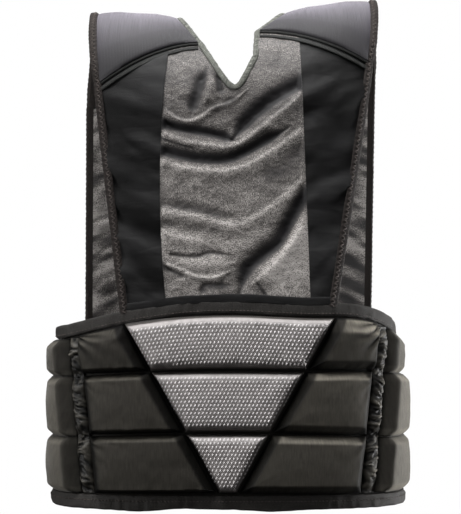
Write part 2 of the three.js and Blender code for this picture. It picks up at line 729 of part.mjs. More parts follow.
// The corded seam under a shoulder pad, on the back (end -1) or the front (end 1).
function piping(side, end) {
  const inner = strapNeck(side, end, NECK_CLEAR + GAP);
  const outer = strapArm(side, end, ARM_CLEAR + GAP);
  const radius = PIPING_DIAMETER / 2;
  const places = spread(inner, outer, PIPING_STEPS).map((x) => onStrap(x, end));
  const round = steps(PIPING_SIDES)
    .slice(1)
    .map((turn) => 2 * Math.PI * turn)
    .map((turn) => [radius * Math.cos(turn), PIPING_RISE + radius * Math.sin(turn)]);
  return bar(tapeStations(places, false), round, false);
}

// Assembly

const SIDES = { left: -1, right: 1 };
const vest = new THREE.Group();

function add(name, geometry, material) {
  const mesh = new THREE.Mesh(geometry, material.clone());
  mesh.name = name;
  vest.add(mesh);
}

add("belt_shell", beltShell(), NYLON);
add("belt_top_binding", beltBinding(BELT_TOP, GAP, TOP_BINDING_HEIGHT + GAP, BINDING_FLARE.top), TAPE);
add(
  "belt_bottom_binding",
  beltBinding(BELT_BOTTOM, -BOTTOM_BINDING_HEIGHT - GAP, -GAP, BINDING_FLARE.bottom),
  TAPE,
);
for (const row of PAD_ROWS) {
  for (const [column, edges] of Object.entries(padColumns())) {
    const material = column === "centre" ? SILVER_PRINT : NYLON;
    add(`pad_${row.name}_${column}`, beltPad(row, edges), material);
  }
}
add("back_mesh", backMesh(), GREY_MESH);
add("front_panel", frontPanel(), GREY_MESH);
add("neck_binding", neckBinding(), TAPE);
for (const [name, side] of Object.entries(SIDES)) {
  add(`gather_${name}`, gather(side), NYLON);
  add(`back_band_${name}`, backBand(name, side), BLACK_KNIT);
  add(`shoulder_pad_${name}`, shoulderPad(side), NEOPRENE);
  add(`armhole_binding_${name}`, armBinding(side), TAPE);
  add(`piping_back_${name}`, piping(side, -1), TAPE);
  add(`piping_front_${name}`, piping(side, 1), TAPE);
}

export default vest;
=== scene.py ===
"""Looks of a football back and rib protector vest: its cloth, foam pads, tapes and stitches.

Lengths are millimetres in the frame of the part: +Z up, the back of the vest towards -Y, left and right as
seen from behind. Meshes are scaled to metres as they are made.
"""
import math

import bpy
import numpy as np
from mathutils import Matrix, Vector


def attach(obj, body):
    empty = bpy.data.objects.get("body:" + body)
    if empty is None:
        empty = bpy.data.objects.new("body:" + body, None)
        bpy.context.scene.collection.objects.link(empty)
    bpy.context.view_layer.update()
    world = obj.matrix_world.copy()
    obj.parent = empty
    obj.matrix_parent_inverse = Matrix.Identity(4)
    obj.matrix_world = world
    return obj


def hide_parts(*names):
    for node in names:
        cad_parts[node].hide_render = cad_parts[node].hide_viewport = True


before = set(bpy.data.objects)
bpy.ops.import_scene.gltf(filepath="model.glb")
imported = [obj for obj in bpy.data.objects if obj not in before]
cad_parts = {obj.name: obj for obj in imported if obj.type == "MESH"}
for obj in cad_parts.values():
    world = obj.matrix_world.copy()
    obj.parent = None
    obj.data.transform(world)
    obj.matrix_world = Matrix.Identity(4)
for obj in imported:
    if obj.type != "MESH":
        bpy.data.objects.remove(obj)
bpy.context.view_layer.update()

MM = 0.001
GAP = 0.3
SHARP_ANGLE = math.radians(55)
SIDES = {"left": -1, "right": 1}
STRAP_ENDS = {"back": -1, "front": 1}

# Camera, in the photograph's frame of 461 by 514 pixels
PHOTO_HEIGHT = 514
FOCAL_PIXELS = 1990
SENSOR_HEIGHT = 36
CAMERA_PLACE = (2.5, -2100, -248)

# Lights and stage
LIGHTS = {
    "key": {"place": (-350, -1000, 1500), "aim": (0, -90, -280), "size": 800, "watts": 70},
    "top": {"place": (0, -150, 1500), "aim": (0, -60, -300), "size": 1200, "watts": 75},
    "left": {"place": (-1500, -500, -300), "aim": (-190, 0, -400), "size": 600, "watts": 26},
    "fill": {"place": (500, -2300, 100), "aim": (0, -90, -250), "size": 1200, "watts": 10},
    "rim": {"place": (1500, 200, -520), "aim": (190, -20, -420), "size": 600, "watts": 72},
}
FLOOR = {"z": -1100, "radius": 3600, "corners": 96, "grey": 0.62, "roughness": 0.9}
BACKDROP = {"radius": 6000, "meridians": 48, "parallels": 24}
# Brightness of the surroundings by the height of a direction, from straight down to straight up
WORLD_LEVELS = ((0.0, 0.05), (0.42, 0.05), (0.55, 0.16), (0.75, 0.5), (1.0, 0.75))

# Torso section, a rounded rectangle seen from above
TORSO_HALF_WIDTH = 172
TORSO_HALF_DEPTH = 95
TORSO_SQUARENESS = 3.2

# Belt: lines round it are a height at the middle of the back, a drop towards the sides, and a lift round one
# place on the right, which is so far along the ring and reaches so far
BELT_WALL = 2.5
BELT_TOP = (-305, 29, 13)
BELT_BOTTOM = (-489, 0, 0)
LIFT_PLACE = 145
LIFT_REACH = 55
# Painted shade over the whole lining of the belt, where the pads shut out the light
LINING_PAINTED_SHADE = -0.75

# Edge tapes of the belt. flare: how far each stands out at the left and the right side. tier: how much higher
# its upper half is.
TOP_TAPE_HEIGHT = 13
BOTTOM_TAPE_HEIGHT = 14
BELT_TAPE_THICKNESS = 5
BELT_TAPE_SQUARENESS = 5
BELT_TAPE_CORNERS = 32
BELT_TAPES = {
    "belt_top_binding": {
        "line": BELT_TOP, "low": GAP, "high": TOP_TAPE_HEIGHT + GAP,
        "flare": (7, 2), "stitch_share": 0.22, "sagging": 0.6, "tier": 0,
    },
    "belt_bottom_binding": {
        "line": BELT_BOTTOM, "low": -BOTTOM_TAPE_HEIGHT - GAP, "high": GAP,
        "flare": (11, 11), "stitch_share": 0.62, "sagging": 1.8, "tier": 1,
    },
}

# Rows of pads: their lines, how much lighter (painted light) or darker (painted shade) their cloth shows, how
# high their edges pucker, and how high the creases from their upper corners are and how much painted light
# and shade they show
PAD_ROWS = {
    "upper": {
        "top": (-307, 29, 13), "bottom": (-360.5, 8, 4),
        "tone": -0.24, "pucker": 2.2, "crease": 1.9, "crease_painted_light": 0.9, "seed": 0,
    },
    "middle": {
        "top": (-363.5, 8, 4), "bottom": (-423.5, 6, 0),
        "tone": 0.08, "pucker": 1.0, "crease": 0.6, "crease_painted_light": 0.25, "seed": 7,
    },
    "lower": {
        "top": (-426.5, 6, 0), "bottom": (-485, 3, 0),
        "tone": -0.06, "pucker": 1.0, "crease": 0.6, "crease_painted_light": 0.2, "seed": 14,
    },
}
# Kinds of pads: the height of their sewn edges, how much painted light their faces show on the left and on
# the right, and the steps of their grids near the edges and within. The seed of a pad is the sum of those of
# its row and its kind, and its side.
PAD_KINDS = {
    "centre": {"edge": 5, "painted_face_lights": (0, 0), "steps": (1.2, 2.0), "seed": 100},
    "back": {"edge": 5, "painted_face_lights": (0, 0.48), "steps": (1.2, 2.0), "seed": 131},
    "side": {"edge": 11, "painted_face_lights": (1.2, 1.8), "steps": (1.6, 3.0), "seed": 193},
    "front": {"edge": 11, "painted_face_lights": (0.6, 0.6), "steps": (1.6, 3.0), "seed": 224},
}
# Bevels of the pads, by kind or by kind and row: how far each runs in, how softly it goes over into the face,
# and how much lighter or darker its cloth shows: painted light where above 0, painted shade where below 0;
# the upper bevels get painted light, as from light above. near is the edge nearer the middle of the back.
PAD_EDGES = ("near", "far", "bottom", "top")
PAD_BEVELS = {
    "centre": ((9, 3, 0), (9, 3, 0), (9.5, 3, -0.15), (6, 3, 0.24)),
    "centre_lower": ((9, 3, 0), (9, 3, 0), (9.5, 3, 0), (6, 3, 0.24)),
    "back": ((7.5, 2.5, -0.85), (10, 4, -0.85), (7, 2, -0.4), (6.5, 2, 1.87)),
    "back_upper": ((7, 2.5, -0.85), (7, 3, -0.6), (8, 2, -0.5), (12, 3, 2.04)),
    "side": ((9, 3, -0.7), (7, 3, 0), (6.5, 2, 0.8), (6.5, 2, 0.3)),
    "front": ((7, 3, 0), (7, 3, 0), (7, 2, -0.3), (7, 2, 0.3)),
}
LEFT_BEVELS = {
    "back": {"bottom": (4, 2, -0.3), "top": (4.5, 2, 0.72)},
    "back_upper": {"bottom": (4, 2, -0.3), "top": (10, 3, 0.24)},
    "side": {"bottom": (5, 2, 0.6)},
}
BEVEL_BLEND = 1.2
BEVEL_RUN_ON = 1.6
ROUND_RUN_ON = 0.1
# The edge of each kind of pad that is sewn down beside a gathered channel
GATHERED_EDGES = {"back": "far", "side": "near"}
GATHERED_EDGE_HEIGHT = 1.8
# Darker along the edges of the pads: dark sewn seams, and painted shade in the gaps between the pads
DARK_SEAM_AND_SHADE = {"width": 2, "light": 0.05}
PAD_BASE = 0.5
PAD_FACE = 17.4
PAD_CROWN = {"rise": 1.4, "reach": 26}
PAD_BORDERS = (17, 15)
PUCKER_REACH = 6
WRINKLES_START = 3
CREASE_FAN = {"rays": 17, "reach": 30, "clear": 5}
# How much flatter a pad is pressed, and how far the cover of a pad reaches down over the seam below it
PRESSED_PADS = {("upper", "side", 1): 5}
SEAM_COVERS = {("upper", "side"): 2.4, ("middle", "side"): 2.4}
# Where along the ring the painted light of the side pads fades to their painted light at the front
SIDE_PAINTED_LIGHT_FADE = (205, 265)
SIDE_FRONT_PAINTED_LIGHT = 0.3

# Seams between the pads: the V of grey pads widens from its foot, and the others are parted by a seam
PAD_SEAM = 3
V_FOOT_Z = -485
V_FOOT_HALF = 10.5
V_WIDENING = 0.556

# Raised dots on the grey pads. Rings are a size and a rise; clear is how far the dots stay from the
# left, right, bottom and top edge.
DOT_PITCH = 3.85
DOT_ROW_PITCH = 3.9
DOT_COLUMNS = 130
DOT_HALF_WIDTH = 0.72
DOT_HALF_LENGTH = 1.5
DOT_LEAN = math.radians(24)
DOT_HEIGHT = 0.55
DOT_SIDES = 10
DOT_RINGS = ((1, -0.25), (0.92, 0.45), (0.55, 0.9), (0.15, 1))
DOT_CLEAR = (1.6, 1.8, 5.5, 3.6)

# Gathered channels between the back pads and the side pads
GATHER_TOP = (154, -335)
GATHER_BOTTOM = (142, -470)
GATHER_HALF = 7
GATHER_FOOT = 2.2
GATHER_LEAST = 1.5
GATHER_PUFF = {"rise": 7.2, "pinched": 0.25, "reach": 12, "end_share": 1 / 12}
GATHER_ARCH = {"angle": 1.35, "power": 0.8}
GATHER_CREASED = 0.3
# Painted shade on the left gather and painted light on the right one; painted highlights on the crease ridges
# and painted shade in their hollows
GATHER_PAINTED_LIGHT = {"left": -0.25, "right": 0.25}
RIDGE_PAINTED_LIGHT = {"flat": 0.7, "gain": 0.8, "least": 0.05, "most": 3}
SWIRL_REACH = 6

# Upper body
PANEL_HALF_DEPTH = 98
WAIST_TAPER = 4.3
SPRING_Z = -95
CREST_RISE = 10
CREST_POWER = 1.4
SHOULDER_LEAN = 0.046

# Edges of the straps: neck and arm at the crest, the back seam and the front seam, the back's arm edge at the
# belt, the height of the seam under the shoulder pad at the neck and its fall towards the arm
STRAPS = {
    "left": {
        "neck": (-48, -24.5, -43), "arm": (-145, -136, -155), "belt": -109.3, "seam": -30.5, "fall": 38,
    },
    "right": {
        "neck": (55, 26, 51), "arm": (157, 148, 160), "belt": 109.3, "seam": -20, "fall": 31,
    },
}
STRAP_REACH = 75
SEAM_CURVE = {"from": 33, "span": 99, "power": 1.8}
BACK_NECK = {"z": -74, "centre": 7, "round": 6, "left": (26, 42.4, 1), "right": (13, 30, 0.9)}
FRONT_NECK = {"z": -120, "power": 2.6}
FRONT_ARM_AT_BELT = 155.6
# Side edges of the mesh at the belt and at the top, and how far they bow
MESH_EDGES = {"left": (-62, -60, -7.5), "right": (83.5, 72.5, 0)}
MESH_THICKNESS = 1.2
BAND_THICKNESS = 1.6
LEVEL_DROP = 12

# Shoulder pads: swell is how fast they rise from their edges and from their end seams
STRAP_EDGE = 4
STRAP_CROWN = 9.5
STRAP_SWELL = {"edge": 1.8, "seam": 4}
# Painted light on the crest of each shoulder pad and painted shade towards its end seams, as from light
# above; the cover is also darker towards the arm edge
CREST_PAINTED_LIGHT = 2.6
SEAM_PAINTED_SHADE = -0.66
SHADE_SPREAD = 1.1
ARM_EDGE_FROM = 0.35
ARM_EDGE_LIGHT = {"left": 0.62, "right": 0.75}

# Tapes, piping and hems: widths and thicknesses
NECK_TAPE = (6, 3.4)
ARM_TAPE = (9, 3.8)
ARM_TAPE_PUCKER = 0.4
FRONT_ARM_TAPE = 10.5
FRONT_WIDENS = (20, 65)
TAPE_SINK = 1
TAPE_STEPS = {"arm": 1.7, "neck": 1.5}
STRAP_WRAP = {"rise": 3.4, "reach": 22}
PIPING = {"diameter": 4, "lift": 1, "corners": 14}
HEM_FOOT = 0.2
SEAM_HEM = {"drop": (4.4, 6.4), "width": 4.2, "top": 2.1, "squareness": 2.4}
BELT_HEM = {"up": 1.5, "width": 9, "top": 2.4, "squareness": 3}

# Stitches. Rings are a share of the length and a size.
STITCH_RINGS = ((0, 0.3), (0.15, 0.9), (0.5, 1.15), (0.85, 0.9), (1, 0.3))
STITCH_SIDES = 6
STITCH_SINK = 0.3
STITCH_CLOTH_STEP = 1.7
TAPE_STITCH = {"length": 2.6, "pitch": 3.6, "radius": 0.42, "lift": 0.05}
ZIGZAG = {"pitch": 5.4, "sway": 1.7, "radius": 0.62, "aside": 0.8}
OVERLOCK = {"pitch": 1.9, "slant": 1.6, "radius": 0.5, "share": 0.42}

# How far the cloth stays from the outer edge of the tape that binds it, and how far it runs under the tape of
# the belt
NECK_CLEAR = 3
ARM_CLEAR = 5.5
SEAM_CLEAR = 0.5
BELT_TUCK = 4
PAD_NECK_CLEAR = 5
PAD_ARM_CLEAR = 7.5

# Tones of the panels: the mesh darkens towards the neck, the bands have a tone at the belt and another at the
# shoulder, with a painted sheen below the shoulder seam, and the front one on the left and another on the
# right, the left lighter as painted light
MESH_TONE = 0.5
MESH_NECK_TONE = -0.125
MESH_DARKENS = (-175, -85)
BAND_TONES = {"left": (0.3, -0.9), "right": (0.8, -0.4)}
BAND_DARKEST = -0.9
# Painted sheen on the bands just below the shoulder seam
BAND_SEAM_PAINTED_SHEEN = {"tone": 0.9, "reach": 9}
FRONT_TONE_AND_PAINTED_LIGHT = (0.59, 0.44)
FRONT_TONE_LIMITS = (0.12, 0.95)

# Ripples of the bands and the front: how steep they lie and how far from the edges they fade. Those of the
# front grow from the middle to the armholes.
BAND_RIPPLES = {"slope": 0.4, "fade": 10}
FRONT_RIPPLES = {"slope": 0.5, "fade": 12, "arm_clear": 3, "arm_fade": 6, "middle": 0.2}
FRONT_SLACK = (85, 125)

# Folds of the slack back panel, each a smooth curve through its points, from left to right.
# lift: how far it stands out. above, below: its half width on either side. tone: how much lighter it shows:
# painted light on ridges and on broad patches where above 0, painted shade in valleys where below 0.
FOLD_COLUMNS = ("lift", "above", "below", "tone", "points")
FOLDS = [
    (-3, 5, 6, -0.34, [(-22, -58), (-28, -76), (-34, -92), (-37, -104)]),
    (-1.8, 3, 4, -0.28, [(-10, -62), (-9, -74), (-6, -84)]),
    (3, 7, 7, 0.04, [(-19, -64), (-18, -80), (-23, -93)]),
    (2.4, 2, 4, 0.12, [(-67, -98), (-54, -108), (-42, -112), (-30, -109), (-14, -99), (4, -92), (20, -79)]),
    (-1.2, 3, 4, -0.16, [(-20, -103), (-2, -95), (10, -88)]),
    (-4.8, 5, 3.5, -0.62, [(-68, -114), (-45, -119), (-22, -123), (-5, -127), (6, -131)]),
    (-4.8, 9, 4, -0.62, [(4, -131), (20, -113), (33, -101), (53, -86), (74, -74)]),
    (3, 3, 6, 0.1, [
        (-68, -123), (-47, -131), (-22, -136), (-2, -138), (14, -133), (38, -115), (60, -98), (74, -85),
    ]),
    (-0.6, 1, 1, -0.3, [(-68, -128), (-47, -135), (-30, -139)]),
    (-4.2, 7, 3.5, -0.62, [
        (-68, -142), (-47, -147), (-22, -151), (0, -150), (20, -142), (45, -128), (60, -119),
    ]),
    (2.4, 3, 7, 0.1, [
        (-68, -152), (-47, -158), (-18, -162), (5, -161), (28, -152), (50, -139), (76, -119),
    ]),
    (-1.2, 9, 10, -0.16, [(30, -166), (52, -160), (76, -140)]),
    (-1.2, 6, 4, -0.16, [(-68, -195), (-30, -201), (12, -210)]),
    (1.8, 4, 8, 0.12, [(-68, -201), (-38, -207), (5, -217), (28, -208), (61, -186), (80, -168)]),
    (-1.2, 5, 5, -0.14, [(-66, -214), (-22, -220), (-5, -223)]),
    (1.5, 4, 6, 0.1, [(-66, -224), (-42, -231), (-18, -236)]),
    (-1.8, 3, 2, -0.26, [(-57, -246), (-33, -248), (-17, -244), (5, -247)]),
    (1.8, 7, 7, 0.12, [(-50, -254), (-22, -256), (6, -254)]),
    (1.8, 2, 3, 0.2, [(-60, -256), (-38, -266), (-15, -269), (5, -261)]),
    (-2.4, 3, 4, -0.34, [(-67, -257), (-54, -262), (-40, -268)]),
    (-1.8, 3, 6, -0.3, [(-28, -287), (-22, -276), (5, -277)]),
    (-5.4, 9, 5, -0.56, [(10, -290), (20, -262), (35, -248), (53, -233), (65, -210), (80, -184)]),
    (2.4, 4, 9, 0.1, [(24, -276), (45, -259), (66, -234), (81, -206)]),
    (-1.2, 2, 2, -0.25, [(28, -272), (34, -281), (40, -289)]),
    (-0.6, 6, 6, -0.14, [(58, -281), (66, -278)]),
    (0, 22, 22, 0.26, [(42, -284), (62, -264), (81, -238)]),
    (0, 12, 14, 0.1, [(-64, -250), (-34, -258), (2, -256)]),
    (0, 9, 12, 0.08, [(-64, -222), (-30, -232), (8, -232), (40, -212)]),
]
FOLD_SAMPLES = 48
FOLD_EDGE_FADE = 5
FOLD_TAPER = 0.22
FOLD_TIP = 0.3
FOLD_TONE_POWER = 2.5
# A fold that begins to the left of the first or ends to the right of the second runs on to the panel's edge
FOLD_REACH = (-57, 70)

# Unevenness: how far it goes up and down, the size of its cells one way and the other, and its seed
UNEVEN = {
    "lining": (0.25, 14, 14, 5),
    "tape_sag": (1, 45, 1, 21),
    "tape_edge": (0.3, 7, 1, 22),
    "tape_pucker": (0.7, 5, 9, 23),
    "pad_pucker": (1, 4.5, 12, 0),
    "pad_slack": (0.45, 24, 20, 1),
    "pad_wrinkle": (0.22, 9, 9, 2),
    "corner_sway": (2, 12, 1 / 3, 3),
    "gather_turn": (8, 15, 1, 30),
    "gather_sway": (3, 13, 1, 40),
    "gather_fold": (2.0, 3.6, 1 / 0.9, 50),
    "gather_crease": (1.6, 1.9, 1 / 1.8, 60),
    "gather_swirl": (1.6, 2.2, 1 / 2.2, 70),
    "mesh_wrinkle": (0.5, 11, 7, 3),
    "mesh_crumple": (0.25, 4, 3, 4),
    "mesh_tone": (0.06, 16, 9, 8),
    "band_ripple": (2.4, 60, 17, 11),
    "band_wrinkle": (0.4, 12, 8, 13),
    # Painted sheen streaks on the bands
    "band_painted_sheen": (2.6, 70, 18, 15),
    "front_ripple": (1.8, 34, 11, 17),
    "front_wrinkle": (0.6, 13, 5, 18),
    "front_tone": (0.5, 26, 6.5, 19),
    "strap_dent": (0.35, 17, 17, 80),
    "arm_tape": (0.5, 9, 1, 90),
    "neck_tape": (0.7, 2.6, 1, 95),
    "neck_ridge": (0.35, 1.8, 1, 96),
    "belt_hem_sag": (0.8, 26, 1, 97),
    "belt_hem_edge": (0.6, 9, 1, 98),
    "seam_hem_edge": (0.4, 6, 1, 99),
}

# Points of the grids, as rows and columns, and of the half ring and the lines that tapes follow
GRIDS = {
    "lining": (24, 400), "gather": (190, 25), "mesh": (260, 180), "band": (150, 46),
    "front": (140, 170), "strap": (110, 64),
}
LINE_POINTS = {
    "half_ring": 1801, "belt": 470, "arm": 60, "strap": 80, "neck": 90, "piping": 70, "seam_hem": 80,
    "belt_hem": 150,
}


# Arrays

def lerp(a, b, share):
    return a + (b - a) * share


def smooth(share):
    share = np.clip(share, 0, 1)
    return share * share * (3 - 2 * share)


def soft_step(value, start, end):
    return smooth((value - start) / (end - start))


def soft_min(a, b, width):
    """The lesser of two values, rounded off where they are within a width of each other."""
    share = np.clip(0.5 + 0.5 * (b - a) / width, 0, 1)
    return b * (1 - share) + a * share - width * share * (1 - share)


def signed_power(value, power):
    return np.sign(value) * np.abs(value) ** power


def unit(vectors):
    return vectors / np.maximum(np.linalg.norm(vectors, axis=-1, keepdims=True), 1e-9)


def by_side(x, left, right):
    """One value for places on the left and another for those on the right."""
    return np.where(np.asarray(x) < 0, left, right)


def pairs(first, second):
    """Two arrays of coordinates as one array of places."""
    return np.stack(np.broadcast_arrays(first, second), axis=-1)


def noise(u, v, seed):
    """Smooth random values from -1 to 1, with one lattice cell for each unit."""
    cells = 64
    table = np.random.default_rng(seed).uniform(-1, 1, (cells, cells))
    u, v = np.broadcast_arrays(np.asarray(u, float), np.asarray(v, float))
    column, row = np.floor(u).astype(int), np.floor(v).astype(int)
    across, up = smooth(u - column), smooth(v - row)

    def value(right, above):
        return table[(column + right) % cells, (row + above) % cells]

    return lerp(lerp(value(0, 0), value(1, 0), across), lerp(value(0, 1), value(1, 1), across), up)


def uneven(kind, u, v=0.5, shift=0):
    """Unevenness of a kind; the shift of its seed tells apart left and right, or one pad and another."""
    height, u_cell, v_cell, seed = UNEVEN[kind]
    return height * noise(u / u_cell, v / v_cell, seed + shift)


def curve_through(points, count):
    """Places along a smooth curve through the points."""
    knots = np.array(points, float)
    ends = np.vstack([2 * knots[0] - knots[1], knots, 2 * knots[-1] - knots[-2]])
    place = np.linspace(0, len(knots) - 1, count)
    first = np.minimum(place.astype(int), len(knots) - 2)
    t = (place - first)[:, None]
    a, b, c, d = (ends[first + k] for k in range(4))
    return 0.5 * (2 * b + (c - a) * t + (2 * a - 5 * b + 4 * c - d) * t**2 + (3 * b - a - 3 * c + d) * t**3)


def arc_lengths(points):
    steps = np.linalg.norm(np.diff(points, axis=0), axis=1)
    return np.concatenate([[0], np.cumsum(steps)])


def edge_shares(length, fine, coarse, border):
    """Shares of a length from 0 to 1, closer together within a border at both ends."""
    border = min(border, length / 2)
    near = np.linspace(0, border, math.ceil(border / fine) + 1)
    steps = max(1, math.ceil((length - 2 * border) / coarse))
    inner = np.linspace(border, length - border, steps + 1)
    return np.unique(np.concatenate([near, inner, length - near]).round(5)) / length


# Materials

def add_node(tree, kind, values=None, **settings):
    """A shader node with its settings; a value is a number, a colour or the socket that feeds it."""
    node = tree.nodes.new(kind)
    for name, value in settings.items():
        setattr(node, name, value)
    for name, value in (values or {}).items():
        if isinstance(value, bpy.types.NodeSocket):
            tree.links.new(value, node.inputs[name])
        else:
            node.inputs[name].default_value = value
    return node


def math_node(tree, operation, a, b=0.0):
    return add_node(tree, "ShaderNodeMath", {0: a, 1: b}, operation=operation).outputs[0]


def attribute(tree, name, output):
    return add_node(tree, "ShaderNodeAttribute", attribute_name=name).outputs[output]


def cloth_place(tree, across, up):
    """The place in the cloth, in units of so many millimetres across and up."""
    values = {0: attribute(tree, "cloth", "Vector"), 1: (1 / across, 1 / up, 1)}
    return add_node(tree, "ShaderNodeVectorMath", values, operation="MULTIPLY").outputs[0]


def grain(tree, across, up, detail=2.0, distortion=0.0):
    """Noise from 0 to 1 whose spots are so many millimetres wide and high."""
    place = cloth_place(tree, across, up)
    values = {"Vector": place, "Scale": 1.0, "Detail": detail, "Distortion": distortion}
    return add_node(tree, "ShaderNodeTexNoise", values).outputs["Fac"]


def ribs(tree, axis, pitch):
    """A wave from -1 to 1 across the cloth (axis X) or up it (axis Y)."""
    turns = cloth_place(tree, pitch / math.tau, pitch / math.tau)
    value = add_node(tree, "ShaderNodeSeparateXYZ", {0: turns}).outputs[axis]
    return math_node(tree, "SINE", value)


def weave(tree, across, up, operation="MULTIPLY"):
    """Ribs across and up the cloth together."""
    return math_node(tree, operation, ribs(tree, "X", across), ribs(tree, "Y", up))


def ramp(tree, factor, *stops):
    node = add_node(tree, "ShaderNodeValToRGB", {"Fac": factor})
    elements = node.color_ramp.elements
    while len(elements) < len(stops):
        elements.new(0.5)
    for element, (position, colour) in zip(elements, stops):
        element.position = position
        element.color = (*colour, 1)
    return node.outputs["Color"]


def shaded(tree, colour):
    """A colour lighter or darker by the shade of a piece: painted light above 0, painted shade below."""
    share = math_node(tree, "ADD", attribute(tree, "shade", "Fac"), 1.0)
    return add_node(tree, "ShaderNodeVectorMath", {0: colour, "Scale": share}, operation="SCALE").outputs[0]


def between(tree, factor, low, high):
    """A number from low to high as a factor goes from 0 to 1."""
    return add_node(tree, "ShaderNodeMapRange", {"Value": factor, "To Min": low, "To Max": high}).outputs[0]


def bump(tree, height, depth, strength, under=None):
    values = {"Height": height, "Distance": depth * MM, "Strength": strength}
    if under is not None:
        values["Normal"] = under
    return add_node(tree, "ShaderNodeBump", values).outputs["Normal"]


def principled(name, **values):
    """A material, its node tree and its shader with constant values."""
    material = bpy.data.materials.new(name)
    material.use_nodes = True
    shader = material.node_tree.nodes["Principled BSDF"]
    for socket, value in values.items():
        shader.inputs[socket].default_value = value
    return material, material.node_tree, shader


def new_cloth(name, specular, sheen=0.0, sheen_tint=(1, 1, 1)):
    values = {"Specular IOR Level": specular, "Sheen Weight": sheen, "Sheen Roughness": 0.4}
    return principled(name, **values, **{"Sheen Tint": (*sheen_tint, 1)})


def finish_cloth(tree, shader, colour, roughness, normal):
    tree.links.new(colour, shader.inputs["Base Color"])
    tree.links.new(roughness, shader.inputs["Roughness"])
    tree.links.new(normal, shader.inputs["Normal"])


def make_nylon(name, specular, roughness, sheen=0.0):
    material, tree, shader = new_cloth(name, specular, sheen, sheen_tint=(1, 0.97, 0.92))
    streaks = grain(tree, 1.5, 11, detail=3)
    plain = ramp(tree, streaks, (0.3, (0.0128, 0.0118, 0.0099)), (0.75, (0.0206, 0.0190, 0.0159)))
    creases = grain(tree, 9, 9, detail=4, distortion=0.6)
    normal = bump(tree, weave(tree, 0.9, 0.9), 0.25, 0.25, bump(tree, creases, 1.5, 0.25))
    finish_cloth(tree, shader, shaded(tree, plain), between(tree, grain(tree, 4, 12), *roughness), normal)
    return material


def make_ground():
    material, tree, shader = new_cloth("silver_ground", specular=0.3)
    patches = grain(tree, 5, 5, detail=3)
    # shade: painted light on the top bevels of the grey pads, painted shade on their lower bevels and seams
    toned = math_node(tree, "ADD", attribute(tree, "shade", "Fac"), between(tree, patches, 0.3, 0.7))
    colour = ramp(
        tree,
        toned,
        (0.1, (0.02, 0.0175, 0.0155)),
        (0.5, (0.098, 0.089, 0.086)),
        (1.0, (0.3, 0.285, 0.28)),
    )
    normal = bump(tree, weave(tree, 1.92, 1.95), 0.5, 0.6)
    finish_cloth(tree, shader, colour, between(tree, patches, 0.45, 0.65), normal)
    return material


def make_dots():
    material, tree, shader = new_cloth("silver_dots", specular=0.35)
    patches = grain(tree, 6, 6, detail=3)
    colour = ramp(tree, patches, (0.3, (0.30, 0.285, 0.285)), (0.7, (0.46, 0.44, 0.44)))
    normal = bump(tree, ribs(tree, "X", 0.5), 0.1, 0.3)
    finish_cloth(tree, shader, colour, between(tree, patches, 0.45, 0.65), normal)
    return material


def make_mesh_cloth():
    material, tree, shader = new_cloth("grey_mesh", specular=0.2, sheen=0.05)
    shade = attribute(tree, "shade", "Fac")
    speckle = grain(tree, 1.2, 1.0, detail=2)
    mottle = grain(tree, 4.5, 2.8, detail=3)
    spots = math_node(tree, "ADD", between(tree, speckle, -1.25, 1.25), between(tree, mottle, -0.5, 0.5))
    # shade: painted light on the ridges of the folds and painted shade in their valleys, over the mesh's own
    # tone
    toned = math_node(tree, "ADD", shade, math_node(tree, "MULTIPLY", spots, shade))
    colour = ramp(
        tree,
        toned,
        (0.0, (0.003, 0.0027, 0.0032)),
        (0.25, (0.016, 0.0146, 0.0145)),
        (0.5, (0.072, 0.066, 0.062)),
        (0.7, (0.186, 0.174, 0.165)),
        (1.0, (0.25, 0.236, 0.224)),
    )
    normal = bump(tree, weave(tree, 1.3, 1.1), 0.3, 0.3, bump(tree, speckle, 0.5, 0.35))
    finish_cloth(tree, shader, colour, between(tree, mottle, 0.5, 0.75), normal)
    return material


def make_knit():
    material, tree, shader = new_cloth("black_knit", specular=0.08)
    streaks = grain(tree, 34, 9, detail=3, distortion=0.8)
    plain = ramp(tree, streaks, (0.35, (0.0028, 0.0028, 0.0029)), (0.75, (0.0072, 0.0072, 0.0072)))
    normal = bump(tree, weave(tree, 1.1, 0.8), 0.25, 0.3, bump(tree, streaks, 2.0, 0.25))
    finish_cloth(tree, shader, shaded(tree, plain), between(tree, streaks, 0.5, 0.66), normal)
    return material


def make_neoprene():
    material, tree, shader = new_cloth("neoprene", specular=0.2, sheen=0.12, sheen_tint=(0.9, 0.85, 1))
    wales = grain(tree, 0.9, 30, detail=2)
    plain = ramp(tree, wales, (0.3, (0.019, 0.0175, 0.0205)), (0.7, (0.036, 0.0335, 0.039)))
    lines = math_node(tree, "ADD", ribs(tree, "X", 1.5), between(tree, grain(tree, 0.8, 0.8), -0.8, 0.8))
    normal = bump(tree, lines, 0.25, 0.3)
    finish_cloth(tree, shader, shaded(tree, plain), between(tree, wales, 0.6, 0.8), normal)
    return material


def make_tape(name, dark, light, roughness):
    material, tree, shader = new_cloth(name, specular=0.1)
    fibres = grain(tree, 1.2, 1.2, detail=3)
    colour = ramp(tree, fibres, (0.3, dark), (0.7, light))
    normal = bump(tree, weave(tree, 1.3, 1.0, "ADD"), 0.25, 0.4)
    finish_cloth(tree, shader, colour, between(tree, fibres, roughness - 0.1, roughness + 0.1), normal)
    return material


